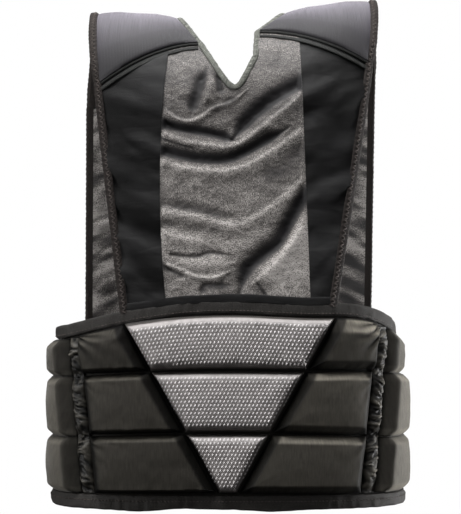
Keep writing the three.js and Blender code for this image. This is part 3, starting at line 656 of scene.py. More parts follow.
NYLON = make_nylon("black_nylon", 0.05, (0.55, 0.75))
SIDE_NYLON = make_nylon("side_nylon", 0.05, (0.55, 0.75), sheen=0.08)
RUFFLE = make_nylon("ruffled_nylon", 0.13, (0.42, 0.6))
GROUND = make_ground()
DOTS = make_dots()
MESH_CLOTH = make_mesh_cloth()
KNIT = make_knit()
NEOPRENE = make_neoprene()
TAPE = make_tape("dark_tape", (0.0072, 0.0068, 0.0063), (0.019, 0.0174, 0.0159), 0.6)
EDGE_TAPE = make_tape("edge_tape", (0.0046, 0.0036, 0.0031), (0.014, 0.011, 0.0098), 0.7)
NECK_EDGE = make_tape("neck_tape", (0.028, 0.029, 0.0255), (0.08, 0.082, 0.073), 0.75)
SEAM_TAPE = make_tape("seam_tape", (0.0045, 0.0047, 0.0044), (0.012, 0.0124, 0.0116), 0.6)
THREAD = make_tape("thread", (0.014, 0.0117, 0.0106), (0.044, 0.0365, 0.033), 0.6)
NECK_THREAD = make_tape("neck_thread", (0.01, 0.0103, 0.009), (0.16, 0.163, 0.146), 0.7)
PAD_MATERIALS = {"centre": GROUND, "back": NYLON, "side": SIDE_NYLON, "front": NYLON}


# Meshes

def add_object(name, data):
    thing = bpy.data.objects.new(name, data)
    bpy.context.scene.collection.objects.link(thing)
    return thing


def signed_volume(points, faces):
    a, b, c, d = (points[faces[:, k]] for k in range(4))
    return np.sum(a * (np.cross(b, c) + np.cross(c, d)))


def make_piece(name, points, faces, material, cloth, shade=None, caps=()):
    """A piece of the vest from points in millimetres, four-cornered faces and any other faces."""
    if signed_volume(points, faces) < 0:
        faces = faces[:, ::-1]
        caps = [cap[::-1] for cap in caps]
    mesh = bpy.data.meshes.new(name)
    mesh.from_pydata((points * MM).tolist(), [], faces.tolist() + [list(cap) for cap in caps])
    place = mesh.attributes.new("cloth", "FLOAT_VECTOR", "POINT")
    flat = np.concatenate([cloth.reshape(-1, 2), np.zeros((len(points), 1))], axis=1)
    place.data.foreach_set("vector", flat.astype(np.float32).ravel())
    # The shade holds the piece's painted light and painted shade, with some random tone on the panels
    if shade is not None:
        tone = mesh.attributes.new("shade", "FLOAT", "POINT")
        tone.data.foreach_set("value", shade.astype(np.float32).ravel())
    mesh.shade_smooth()
    mesh.set_sharp_from_angle(angle=SHARP_ANGLE)
    mesh.materials.append(material)
    piece = add_object(name, mesh)
    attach(piece, "root")
    return piece


def grid_faces(rows, columns, closed):
    lines = columns if closed else columns - 1
    row, column = np.meshgrid(np.arange(rows - 1), np.arange(lines), indexing="ij")
    after = (column + 1) % columns
    low, high = row * columns, (row + 1) * columns
    return np.stack([low + column, low + after, high + after, high + column], axis=-1).reshape(-1, 4)


def rim_faces(loop, offset):
    after = np.roll(loop, -1)
    return np.stack([after, loop, loop + offset, after + offset], axis=-1)


def wall(name, outer, inner, material, cloth, shade, closed=False):
    """A closed wall between two grids of points; a closed one runs round as a ring."""
    rows, columns = outer.shape[:2]
    count = rows * columns
    index = np.arange(count).reshape(rows, columns)
    skin = grid_faces(rows, columns, closed)
    if closed:
        rims = [rim_faces(index[0], count), rim_faces(index[-1][::-1], count)]
    else:
        edge = [index[0, :-1], index[:-1, -1], index[-1, :0:-1], index[:0:-1, 0]]
        rims = [rim_faces(np.concatenate(edge), count)]
    faces = np.concatenate([skin, skin[:, ::-1] + count, *rims])
    points = np.concatenate([outer.reshape(-1, 3), inner.reshape(-1, 3)])
    both = np.concatenate([cloth.reshape(-1, 2)] * 2)
    return make_piece(name, points, faces, material, both, np.concatenate([shade.ravel()] * 2))


def directions(places, out, closed):
    """The direction across a tape that lies on a surface with the given outward directions."""
    if closed:
        run = np.roll(places, -1, axis=0) - np.roll(places, 1, axis=0)
    else:
        run = np.gradient(places, axis=0)
    return unit(np.cross(run, out))


def sweep(name, places, out, section, material, closed=False):
    """A bar along places, whose section gives points across it and out from it at each place."""
    across = directions(places, out, closed)
    points = places[:, None] + section[..., :1] * across[:, None] + section[..., 1:] * out[:, None]
    stations, corners = section.shape[:2]
    faces = grid_faces(stations + 1 if closed else stations, corners, True) % (stations * corners)
    cloth = np.stack(np.meshgrid(arc_lengths(places), arc_lengths(section[0]), indexing="ij"), axis=-1)
    last = (stations - 1) * corners
    caps = [] if closed else [np.arange(corners)[::-1], np.arange(corners) + last]
    return make_piece(name, points.reshape(-1, 3), faces, material, cloth, caps=caps)


def rounded_section(stations, width, low, high, corners=20, squareness=3.2):
    """A flat bar's section with round edges; its width and its top may differ along the bar."""
    turn = np.linspace(0, math.tau, corners, endpoint=False)
    across = signed_power(np.cos(turn), 2 / squareness)
    out = signed_power(np.sin(turn), 2 / squareness)
    width = np.broadcast_to(np.asarray(width, float), (stations,))[:, None]
    high = np.broadcast_to(np.asarray(high, float), (stations,))[:, None]
    return pairs(width / 2 * across, (low + high) / 2 + (high - low) / 2 * out)


def tiny_solids(name, rings, material, cloth):
    """Many small closed solids as one piece, each from its rings and with one place in the cloth."""
    points = np.stack(rings, axis=1)
    solids, stations, sides = points.shape[:3]
    count = stations * sides
    first = np.arange(solids)[:, None, None] * count
    faces = (grid_faces(stations, sides, True)[None] + first).reshape(-1, 4)
    low = np.arange(sides)[::-1]
    high = np.arange(sides) + count - sides
    caps = [cap + k for k in first.ravel() for cap in (low, high)]
    places = np.broadcast_to(cloth[:, None, :], (solids, count, 2))
    make_piece(name, points.reshape(-1, 3), faces, material, places, caps=caps)


def stitches(name, starts, ends, out, radius, material):
    """Short threads from starts to ends, bowed outwards."""
    run = ends - starts
    aside = unit(np.cross(run, out))
    turn = np.linspace(0, math.tau, STITCH_SIDES, endpoint=False)
    rings = []
    for share, size in STITCH_RINGS:
        bow = radius * (4 * share * (1 - share) - STITCH_SINK)
        centre = starts + share * run + bow * out
        ring = [centre + radius * size * (np.cos(t) * aside + np.sin(t) * out) for t in turn]
        rings.append(np.stack(ring, axis=1))
    step = np.arange(len(starts)) * STITCH_CLOTH_STEP
    tiny_solids(name, rings, material, pairs(step, step))


# Belt ring

RING_TURNS = np.linspace(0, math.pi, LINE_POINTS["half_ring"])
RING_X = TORSO_HALF_WIDTH * signed_power(np.sin(RING_TURNS), 2 / TORSO_SQUARENESS)
RING_Y = -TORSO_HALF_DEPTH * signed_power(np.cos(RING_TURNS), 2 / TORSO_SQUARENESS)
RING_ALONG = np.concatenate([[0], np.cumsum(np.hypot(np.diff(RING_X), np.diff(RING_Y)))])
HALF_GIRTH = RING_ALONG[-1]
RING_QUARTER = len(RING_TURNS) // 2 + 1


def ring_at(along):
    """Place and outward direction at a signed distance along the ring from the middle of the back."""
    side = np.where(along < 0, -1, 1)
    x = np.interp(np.abs(along), RING_ALONG, RING_X)
    y = np.interp(np.abs(along), RING_ALONG, RING_Y)
    nx = signed_power(x / TORSO_HALF_WIDTH, TORSO_SQUARENESS - 1) / TORSO_HALF_WIDTH
    ny = signed_power(y / TORSO_HALF_DEPTH, TORSO_SQUARENESS - 1) / TORSO_HALF_DEPTH
    size = np.hypot(nx, ny)
    return side * x, y, side * nx / size, ny / size


def ring_along(x):
    return np.interp(np.abs(x), RING_X[:RING_QUARTER], RING_ALONG[:RING_QUARTER])


def belt_line(line, along):
    z, drop, lift = line
    x, y, _, _ = ring_at(along)
    level = z - drop * np.where(y < 0, (x / TORSO_HALF_WIDTH) ** 2, 1)
    return level + lift * np.exp(-(((along - LIFT_PLACE) / LIFT_REACH) ** 2))


def belt_point(along, z, height):
    x, y, nx, ny = ring_at(along)
    return np.stack(np.broadcast_arrays(x + nx * height, y + ny * height, z), axis=-1)


def belt_out(along):
    _, _, nx, ny = ring_at(along)
    return np.stack([nx, ny, np.zeros_like(nx)], axis=-1)


def make_belt_shell():
    rows, columns = GRIDS["lining"]
    along = np.linspace(-HALF_GIRTH, HALF_GIRTH, columns, endpoint=False)
    bottom, top = belt_line(BELT_BOTTOM, along), belt_line(BELT_TOP, along)
    z = lerp(bottom - BELT_TUCK, top + BELT_TUCK, np.linspace(0, 1, rows)[:, None])
    ripple = uneven("lining", along, z)
    outer, inner = belt_point(along, z, ripple), belt_point(along, z, ripple - BELT_WALL)
    # Painted shade: the lining is made darker all over
    tone = np.full(z.shape, LINING_PAINTED_SHADE)
    shell = wall("belt_lining", outer, inner, NYLON, pairs(along, z), tone, closed=True)
    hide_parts("belt_shell")


def make_belt_tape(node, line, low, high, flare, stitch_share, sagging, tier):
    along = np.linspace(-HALF_GIRTH, HALF_GIRTH, LINE_POINTS["belt"], endpoint=False)
    inside = -(BELT_WALL + BELT_TAPE_THICKNESS) / 2

    def face(distance):
        _, _, nx, _ = ring_at(distance)
        return inside + BELT_TAPE_THICKNESS + by_side(nx, *flare) * nx**2

    def stitch_place(distance):
        z = belt_line(line, distance) + lerp(low, high, stitch_share)
        return belt_point(distance, z, face(distance) + tier + TAPE_STITCH["lift"])

    sag = sagging * uneven("tape_sag", along) + uneven("tape_edge", along)
    places = belt_point(along, belt_line(line, along) + (low + high) / 2 + sag / 2, 0)
    section = rounded_section(len(along), high - low - sag, inside, face(along), BELT_TAPE_CORNERS,
                              BELT_TAPE_SQUARENESS)
    outside = section[..., 1] > 0
    puckers = uneven("tape_pucker", along[:, None], section[..., 0])
    section[..., 1] += np.where(outside, puckers, 0) + np.where(outside & (section[..., 0] > 0), tier, 0)
    tape = sweep(node + "_tape", places, belt_out(along), section, TAPE, closed=True)
    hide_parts(node)
    at = np.arange(-HALF_GIRTH, HALF_GIRTH - TAPE_STITCH["pitch"], TAPE_STITCH["pitch"])
    stitches(node + "_stitches_0", stitch_place(at), stitch_place(at + TAPE_STITCH["length"]), belt_out(at),
             TAPE_STITCH["radius"], THREAD)


# Belt pads

def v_edge(z):
    return ring_along(V_FOOT_HALF + V_WIDENING * np.maximum(0, z - V_FOOT_Z))


def gather_line(z):
    (top_x, top_z), (bottom_x, bottom_z) = GATHER_TOP, GATHER_BOTTOM
    return ring_along(lerp(bottom_x, top_x, (z - bottom_z) / (top_z - bottom_z)))


class Pad:
    """One foam pad of the belt, with its edges as distances along the ring at a height."""

    def __init__(self, row, kind, left, right, side):
        self.row = PAD_ROWS[row]
        self.kind = kind
        self.side = side
        self.left = left
        self.right = right
        self.top = self.row["top"]
        level, drop, lift = self.row["bottom"]
        self.bottom = (level - SEAM_COVERS.get((row, kind), 0), drop, lift)
        form = f"{kind}_{row}" if f"{kind}_{row}" in PAD_BEVELS else kind
        bevels = dict(zip(PAD_EDGES, PAD_BEVELS[form]))
        order = PAD_EDGES
        if side < 0:
            bevels.update(LEFT_BEVELS.get(form, {}))
            order = ("far", "near", "bottom", "top")
        self.bevels = [bevels[edge] for edge in order]
        pressed = PRESSED_PADS.get((row, kind, side), 0)
        self.face = PAD_FACE - pressed
        sewn = PAD_KINDS[kind]["edge"] - pressed
        gathered = GATHERED_EDGES.get(kind)
        self.edge_heights = [GATHERED_EDGE_HEIGHT if edge == gathered else sewn for edge in order]
        self.painted_face_light = PAD_KINDS[kind]["painted_face_lights"][0 if side < 0 else 1]
        self.seed = PAD_KINDS[kind]["seed"] + self.row["seed"] + side

    def slant(self, edge):
        rise = self.top[0] - self.bottom[0]
        return math.hypot(1, float(edge(self.top[0]) - edge(self.bottom[0])) / rise)

    def to_edges(self, along, z):
        """Distances from the left, right, bottom and top edges."""
        return [
            (along - self.left(z)) / self.slant(self.left),
            (self.right(z) - along) / self.slant(self.right),
            z - belt_line(self.bottom, along),
            belt_line(self.top, along) - z,
        ]

    def height(self, along, z):
        """Height of the skin above the belt wall, with its bevels, crown and wrinkles."""
        edges = self.to_edges(along, z)
        height = np.full(np.broadcast(along, z).shape, float(self.face))
        for distance, edge_height, (bevel, soft, _) in zip(edges, self.edge_heights, self.bevels):
            share = np.clip(distance / bevel, 0, BEVEL_RUN_ON)
            if self.kind == "centre":
                share = np.sin(np.minimum(share, 1) * math.pi / 2) + ROUND_RUN_ON * share
            height = soft_min(height, lerp(edge_height, self.face, share), soft)
        nearest = np.minimum.reduce(edges)
        crown = PAD_CROWN["rise"] * smooth(nearest / PAD_CROWN["reach"])
        at_seam = np.exp(-nearest / PUCKER_REACH)
        pucker = self.row["pucker"] * at_seam * uneven("pad_pucker", along, z, self.seed)
        slack = uneven("pad_slack", along, z, self.seed) + uneven("pad_wrinkle", along, z, self.seed)
        creases = self.row["crease"] * self.corner_creases(along, z)
        return height + crown + smooth(nearest / WRINKLES_START) * (pucker + slack + creases)

    def shade(self, along, z):
        """The painted light and painted shade of the cover: how much lighter or darker it shows."""
        edges = self.to_edges(along, z)
        # Painted light on the face of the pad, by its kind and its side
        light = 1 + self.painted_face_light
        # Painted light on the side pads, less of it towards the front
        if self.kind == "side":
            light = 1 + lerp(self.painted_face_light, SIDE_FRONT_PAINTED_LIGHT, soft_step(np.abs(along), *SIDE_PAINTED_LIGHT_FADE))
        # Painted shade on the upper and lower rows and painted light on the middle row
        if self.kind != "centre":
            light = light * (1 + self.row["tone"])
        # Painted light and painted shade on the bevels
        for distance, (bevel, soft, tone) in zip(edges, self.bevels):
            light = light * (1 + tone * smooth((bevel - distance + soft / 2) / (soft + BEVEL_BLEND) + 0.5))
        # Painted highlights and painted shade along the creases from the upper corner
        light = light * (1 + self.row["crease_painted_light"] * self.corner_creases(along, z))
        # Dark sewn seams, with painted shade in the gaps between the pads
        nearest = np.minimum.reduce(edges)
        return light * lerp(DARK_SEAM_AND_SHADE["light"], 1, smooth(nearest / DARK_SEAM_AND_SHADE["width"])) - 1

    def corner_creases(self, along, z):
        """Creases that spread from the upper corner beside the gathers, from -1 to 1."""
        if self.kind != "back":
            return 0
        far = self.right if self.side > 0 else self.left
        inwards = np.abs(far(z) - along)
        down = belt_line(self.top, along) - z
        reach = np.hypot(inwards, down)
        turn = np.arctan2(down, inwards)
        waves = np.sin(CREASE_FAN["rays"] * turn + uneven("corner_sway", reach, turn, self.seed))
        fade = np.exp(-((reach / CREASE_FAN["reach"]) ** 2)) * smooth(reach / CREASE_FAN["clear"])
        return waves * fade


def all_pads():
    half = PAD_SEAM / 2
    aside = GATHER_HALF + GAP
    right_edges = {
        "back": (lambda z: v_edge(z) + half, lambda z: gather_line(z) - aside),
        "side": (lambda z: gather_line(z) + aside, lambda z: HALF_GIRTH - gather_line(z) - half),
        "front": (lambda z: HALF_GIRTH - gather_line(z) + half, lambda z: HALF_GIRTH - half + 0 * z),
    }
    centre_edges = (lambda z: half - v_edge(z), lambda z: v_edge(z) - half)
    pads = {}
    for row in PAD_ROWS:
        pads[f"pad_{row}_centre"] = Pad(row, "centre", *centre_edges, 0)
        for kind, (near, far) in right_edges.items():
            pads[f"pad_{row}_{kind}_right"] = Pad(row, kind, near, far, 1)
            pads[f"pad_{row}_{kind}_left"] = Pad(
                row, kind, lambda z, far=far: -far(z), lambda z, near=near: -near(z), -1)
    return pads


def make_pad(node, pad):
    steps = PAD_KINDS[pad.kind]["steps"]
    middle = (pad.top[0] + pad.bottom[0]) / 2
    left, right = pad.left(middle), pad.right(middle)
    across = edge_shares(float(right - left), *steps, PAD_BORDERS[0])
    up = edge_shares(pad.top[0] - pad.bottom[0], *steps, PAD_BORDERS[1])[:, None]
    guess = lerp(left, right, across)
    z = lerp(belt_line(pad.bottom, guess), belt_line(pad.top, guess), up)
    along = lerp(pad.left(z), pad.right(z), across)
    outer, inner = belt_point(along, z, pad.height(along, z)), belt_point(along, z, PAD_BASE)
    shade = pad.shade(along, z)
    piece = wall(node + "_cover", outer, inner, PAD_MATERIALS[pad.kind], pairs(along, z), shade)
    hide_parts(node)


def make_dots_on(node, pad):
    """Raised light dots on a grey pad, in staggered rows that lean to the right."""
    rows = np.arange(pad.bottom[0], pad.top[0] + BELT_TOP[1], DOT_ROW_PITCH)
    columns = np.arange(-DOT_COLUMNS, DOT_COLUMNS)
    stagger = (np.arange(len(rows)) % 2 / 2)[:, None]
    along = ((columns + stagger) * DOT_PITCH).ravel()
    z = np.repeat(rows, len(columns)) + belt_line(pad.top, along) - pad.top[0]
    clear = [distance > least for distance, least in zip(pad.to_edges(along, z), DOT_CLEAR)]
    keep = np.logical_and.reduce(clear)
    along, z = along[keep], z[keep]
    turn = np.linspace(0, math.tau, DOT_SIDES, endpoint=False)
    across = DOT_HALF_WIDTH * np.cos(turn)
    up = DOT_HALF_LENGTH * np.sin(turn)
    right = across * math.cos(DOT_LEAN) + up * math.sin(DOT_LEAN)
    high = up * math.cos(DOT_LEAN) - across * math.sin(DOT_LEAN)
    rings = []
    for size, rise in DOT_RINGS:
        at = along[:, None] + size * right
        level = z[:, None] + size * high
        rings.append(belt_point(at, level, pad.height(at, level) + DOT_HEIGHT * rise))
    tiny_solids(node + "_dots", rings, DOTS, pairs(along, z))


def make_gather(name, side):
    """The ruffled channel: pinched at the sewn lines between the rows, puffed and creased in between."""
    rows, columns = GRIDS["gather"]
    top, bottom = PAD_ROWS["upper"]["top"], PAD_ROWS["lower"]["bottom"]
    up = np.linspace(0, 1, rows)[:, None]
    across = np.linspace(-1, 1, columns)
    guess = side * gather_line(lerp(bottom[0], top[0], up))
    z = lerp(belt_line(bottom, guess), belt_line(top, guess), up)
    line = gather_line(z)
    to_seams = [np.abs(z - belt_line(PAD_ROWS[row]["top"], side * line)) for row in ("middle", "lower")]
    nearest = np.minimum(*to_seams)
    to_ends = np.minimum(up, 1 - up)
    open_share = smooth(nearest / GATHER_PUFF["reach"]) * smooth(to_ends / GATHER_PUFF["end_share"])
    puff = lerp(GATHER_PUFF["pinched"], 1, open_share)
    slope = z + uneven("gather_turn", z, shift=side) * across + uneven("gather_sway", z, across, side)
    creases = uneven("gather_fold", slope, across, side) + uneven("gather_crease", slope, across, side)
    swirl = np.exp(-((nearest / SWIRL_REACH) ** 2)) * uneven("gather_swirl", z, across, side)
    arch = np.cos(across * GATHER_ARCH["angle"]) ** GATHER_ARCH["power"]
    rise = GATHER_PUFF["rise"] * puff + creases * lerp(GATHER_CREASED, 1, puff) + swirl
    height = np.maximum(GATHER_FOOT + rise * arch, GATHER_LEAST)
    along = side * (line + across * GATHER_HALF)
    # Painted highlights on the crease ridges and painted shade in the hollows, with painted light or shade by
    # side
    light = RIDGE_PAINTED_LIGHT["flat"] + RIDGE_PAINTED_LIGHT["gain"] * creases
    light = np.clip(light, RIDGE_PAINTED_LIGHT["least"], RIDGE_PAINTED_LIGHT["most"])
    shade = (1 + GATHER_PAINTED_LIGHT[name]) * light - 1
    outer, inner = belt_point(along, z, height), belt_point(along, z, GAP)
    piece = wall(f"gather_{name}_ruffle", outer, inner, RUFFLE, pairs(along, z), shade)
    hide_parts(f"gather_{name}")


# Upper body surfaces

def lean(x):
    return SHOULDER_LEAN * x


def crest_z(x):
    necks = by_side(x, STRAPS["left"]["neck"][0], STRAPS["right"]["neck"][0])
    arms = by_side(x, STRAPS["left"]["arm"][0], STRAPS["right"]["arm"][0])
    share = np.clip((x - necks) / (arms - necks), 0, 1)
    return CREST_RISE * share**CREST_POWER + lean(x)


def section_depth(x):
    return (1 - np.minimum(1, np.abs(x / TORSO_HALF_WIDTH)) ** TORSO_SQUARENESS) ** (1 / TORSO_SQUARENESS)


def arch_point(x, angle):
    """A place over the shoulder, from 0 at the back's spring line to half a turn at the front's."""
    y = -PANEL_HALF_DEPTH * section_depth(x) * np.cos(angle)
    return np.stack(np.broadcast_arrays(x, y, SPRING_Z + (crest_z(x) - SPRING_Z) * np.sin(angle)), axis=-1)


def panel_surface(side):
    """The surface of the back (side -1) or the front (side 1) by distance from the middle and height."""
    def surface(x, z):
        above = np.clip((z - SPRING_Z) / (crest_z(x) - SPRING_Z), 0, 1)
        below = np.maximum(0, SPRING_Z - z) / (SPRING_Z - BELT_TOP[0])
        depth = (PANEL_HALF_DEPTH - WAIST_TAPER * below**2) * section_depth(x) * np.sqrt(1 - above**2)
        return np.stack(np.broadcast_arrays(x, side * depth, z), axis=-1)
    return surface


def outward(surface, a, b):
    reach = 1e-2
    along_a = surface(a + reach, b) - surface(a - reach, b)
    along_b = surface(a, b + reach) - surface(a, b - reach)
    normal = unit(np.cross(along_a, along_b))
    place = surface(a, b)
    away = place[..., 1] * normal[..., 1] + np.maximum(0, place[..., 2] - SPRING_Z) * normal[..., 2]
    return np.where(away[..., None] < 0, -normal, normal)


def strap_on(side):
    return STRAPS["left" if side < 0 else "right"]


def seam_z(x):
    """The height of the sewn line under a shoulder pad."""
    share = np.maximum(0, (np.abs(x) - SEAM_CURVE["from"]) / SEAM_CURVE["span"])
    start = by_side(x, STRAPS["left"]["seam"], STRAPS["right"]["seam"])
    fall = by_side(x, STRAPS["left"]["fall"], STRAPS["right"]["fall"])
    return start - fall * share ** SEAM_CURVE["power"] + lean(x)


def back_arm(side, z):
    belt, seam = strap_on(side)["belt"], strap_on(side)["arm"][1]
    return lerp(belt, seam, (z - BELT_TOP[0]) / (seam_z(seam) - BELT_TOP[0]))


def belt_edge_z(x, side):
    along = ring_along(x)
    place = along if side < 0 else HALF_GIRTH - along
    return belt_line(BELT_TOP, by_side(x, -place, place)) + TOP_TAPE_HEIGHT + 2 * GAP


def strap_edge(edge, over, inset):
    """An edge of a strap; over is -1 at the back seam, 0 at the crest and 1 at the front seam."""
    crest, back, front = edge
    shift = np.where(over < 0, back, front) - crest
    slant = np.hypot(1, 2 * shift * over / STRAP_REACH)
    return crest + shift * over**2 + inset * slant


def strap_neck(side, over, inset):
    return strap_edge(strap_on(side)["neck"], np.asarray(over), side * inset)


def strap_arm(side, over, inset):
    return strap_edge(strap_on(side)["arm"], np.asarray(over), -side * inset)


def strap_angle(x, over):
    rise = np.clip((seam_z(x) - SPRING_Z) / (crest_z(x) - SPRING_Z), 0, 1)
    return math.pi / 2 + over * (math.pi / 2 - np.arcsin(rise))


def back_neckline(share):
    x = lerp(strap_neck(-1, -1, 0), strap_neck(1, -1, 0), share)
    aside = x - BACK_NECK["centre"]
    half, rise, power = (by_side(aside, *pair) for pair in zip(BACK_NECK["left"], BACK_NECK["right"]))
    away = np.hypot(aside, BACK_NECK["round"]) - BACK_NECK["round"]
    return x, BACK_NECK["z"] + rise * (away / half) ** power


def front_neckline(share):
    left, right = strap_neck(-1, 1, 0), strap_neck(1, 1, 0)
    across = -np.cos(math.pi * share)
    corner = by_side(across, seam_z(left), seam_z(right))
    z = lerp(FRONT_NECK["z"], corner, np.abs(across) ** FRONT_NECK["power"])
    return lerp(left, right, (1 + across) / 2), z


def neck_place(line, share, inset, clear):
    """A place on a neckline moved into the cloth, and kept clear of the shoulder seam."""
    step = 1e-3
    x, z = line(share)
    x1, z1 = line(np.maximum(0, share - step))
    x2, z2 = line(np.minimum(1, share + step))
    run = np.hypot(x2 - x1, z2 - z1)
    moved = x + inset * (z2 - z1) / run
    return moved, np.minimum(z - inset * (x2 - x1) / run, seam_z(moved) - clear)


def on_strap(x, over):
    angle = strap_angle(x, over)
    return arch_point(x, angle), outward(arch_point, x, angle)


def on_panel(side, x, z):
    surface = panel_surface(side)
    return surface(x, z), outward(surface, x, z)


# Panels

def fold_fields(x, z):
    """Lift and painted light and shade of the back panel's folds; a fold that ends within the panel tapers
    off.
    """
    lift, tone = np.zeros_like(x), np.zeros_like(x)
    for fold in (dict(zip(FOLD_COLUMNS, row)) for row in FOLDS):
        line = curve_through(fold["points"], FOLD_SAMPLES)
        run = unit(np.gradient(line, axis=0))
        away = (x[..., None] - line[:, 0]) ** 2 + (z[..., None] - line[:, 1]) ** 2
        nearest = away.argmin(axis=-1)
        over = run[nearest, 0] * (z - line[nearest, 1]) - run[nearest, 1] * (x - line[nearest, 0])
        beside = (nearest > 0) & (nearest < FOLD_SAMPLES - 1)
        distance = np.where(beside, np.abs(over), np.sqrt(away.min(axis=-1)))
        place = nearest / (FOLD_SAMPLES - 1)
        size = np.ones_like(x)
        if line[0, 0] > FOLD_REACH[0]:
            size = lerp(FOLD_TIP, 1, smooth(place / FOLD_TAPER))
        if line[-1, 0] < FOLD_REACH[1]:
            size = size * lerp(FOLD_TIP, 1, smooth((1 - place) / FOLD_TAPER))
        share = distance / (size * np.where(over > 0, fold["above"], fold["below"]))
        lift += size * fold["lift"] * np.exp(-(share**2))
        tone += size * fold["tone"] * np.exp(-np.abs(share) ** FOLD_TONE_POWER)
    return lift, tone


def panel_grid(rows, low, high, bows=(0, 0)):
    """Places of a panel with columns between its lower and its upper edge, and their distances from both.

    Its rows are level to just below the lowest place of the upper edge. The bows of its first and last
    columns go over into one another.
    """
    (low_x, low_z), (high_x, high_z) = low, high
    level = high_z.min() - LEVEL_DROP
    turn = (level - low_z.mean()) / (high_z.mean() - low_z.mean())
    row = np.linspace(0, 1, rows)[:, None]
    z = np.where(row < turn, lerp(low_z, level, row / turn), lerp(level, high_z, (row - turn) / (1 - turn)))
    up = (z - low_z) / (high_z - low_z)
    x = lerp(low_x, high_x, up) + np.linspace(*bows, len(high_x)) * 4 * up * (1 - up)
    return x, z, z - low_z, high_z - z


def along_belt(side, start, end, count):
    x = np.linspace(start, end, count)
    return x, belt_edge_z(x, side) - BELT_TUCK


def along_top(line, start, end, count):
    """The upper edge of a panel: shoulder seam, neckline and shoulder seam, with its corners rounded off."""
    neck_x, neck_z = neck_place(line, np.linspace(0, 1, count), NECK_CLEAR, SEAM_CLEAR)
    neck_x = np.maximum.accumulate(neck_x)
    x = np.linspace(start, end, count)
    at_neck = (x > neck_x[0]) & (x < neck_x[-1])
    z = np.where(at_neck, np.interp(x, neck_x, neck_z), seam_z(x) - SEAM_CLEAR)
    reach = 2
    beside = np.pad(z, reach, mode="edge")
    return x, np.mean([beside[k:k + count] for k in range(2 * reach + 1)], axis=0)


def to_sides(x):
    return np.minimum(x - x[:, :1], x[:, -1:] - x)


def make_panel(node, side, x, z, lift, thickness, material, shade):
    places, away = on_panel(side, x, z)
    middle = places + away * lift[..., None]
    out = unit(np.cross(np.gradient(middle, axis=1), np.gradient(middle, axis=0)))
    out = np.where((out[..., 1] * side)[..., None] < 0, -out, out)
    half = out * thickness / 2
    piece = wall(node + "_cloth", middle + half, middle - half, material, pairs(x, z), shade)
    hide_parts(node)


def make_back_mesh():
    rows, columns = GRIDS["mesh"]
    left, right = MESH_EDGES["left"], MESH_EDGES["right"]
    high = along_top(back_neckline, left[1], right[1], columns)
    low = along_belt(-1, left[0], right[0], columns)
    x, z, to_belt, to_top = panel_grid(rows, low, high, (left[2], right[2]))
    lift, tone = fold_fields(x, z)
    lift = lift + uneven("mesh_wrinkle", x, z) + uneven("mesh_crumple", x, z)
    fade = smooth(np.minimum.reduce([to_sides(x), to_belt, to_top]) / FOLD_EDGE_FADE)
    base = MESH_TONE + MESH_NECK_TONE * soft_step(z, *MESH_DARKENS)
    # The folds' painted light and painted shade, on a tone that darkens towards the neck, with random tone
    shade = np.clip(base + tone + uneven("mesh_tone", x, z), 0, 1)
    make_panel("back_mesh", -1, x, z, lift * fade, MESH_THICKNESS, MESH_CLOTH, shade)


def make_back_band(name, side):
    rows, columns = GRIDS["band"]
    mesh_low, mesh_high, bow = MESH_EDGES[name]
    low = along_belt(-1, mesh_low, back_arm(side, BELT_TOP[0]) - side * ARM_CLEAR, columns)
    high_x = np.linspace(mesh_high, strap_arm(side, -1, ARM_CLEAR), columns)
    x, z, to_belt, to_top = panel_grid(rows, low, (high_x, seam_z(high_x) - SEAM_CLEAR), (bow, 0))
    slope = z - BAND_RIPPLES["slope"] * side * x
    ripples = uneven("band_ripple", x, slope, side) + uneven("band_wrinkle", x, slope, side)
    fade = smooth(np.minimum(to_belt, to_top) / BAND_RIPPLES["fade"])
    base = lerp(*BAND_TONES[name], to_belt / (to_belt + to_top))
    # Painted sheen below the shoulder seam
    at_seam = BAND_SEAM_PAINTED_SHEEN["tone"] * np.exp(-to_top / BAND_SEAM_PAINTED_SHEEN["reach"])
    # Painted sheen streaks along the ripples of the bands
    shade = np.maximum(base + at_seam + uneven("band_painted_sheen", x, slope, side), BAND_DARKEST)
    make_panel(f"back_band_{name}", -1, x, z, ripples * fade, BAND_THICKNESS, KNIT, shade)


def make_front_panel():
    rows, columns = GRIDS["front"]
    high = along_top(front_neckline, strap_arm(-1, 1, ARM_CLEAR), strap_arm(1, 1, ARM_CLEAR), columns)
    low = along_belt(1, ARM_CLEAR - FRONT_ARM_AT_BELT, FRONT_ARM_AT_BELT - ARM_CLEAR, columns)
    x, z, to_belt, to_top = panel_grid(rows, low, high)
    at_arm = lerp(FRONT_RIPPLES["middle"], 1, soft_step(np.abs(x), *FRONT_SLACK))
    slope = z + FRONT_RIPPLES["slope"] * np.hypot(x, FRONT_SLACK[0])
    ripples = at_arm * (uneven("front_ripple", x, slope) + uneven("front_wrinkle", x, slope))
    arm_fade = smooth((to_sides(x) - FRONT_RIPPLES["arm_clear"]) / FRONT_RIPPLES["arm_fade"])
    fade = smooth(np.minimum(to_belt, to_top) / FRONT_RIPPLES["fade"]) * arm_fade
    # Tone of the front, lighter on the left as painted light
    base = lerp(*FRONT_TONE_AND_PAINTED_LIGHT, smooth(0.5 + x / (2 * FRONT_SLACK[1])))
    shade = np.clip(base + at_arm * uneven("front_tone", x, slope), *FRONT_TONE_LIMITS)
    make_panel("front_panel", 1, x, z, ripples * fade, BAND_THICKNESS, MESH_CLOTH, shade)


# Shoulder straps, tapes and hems

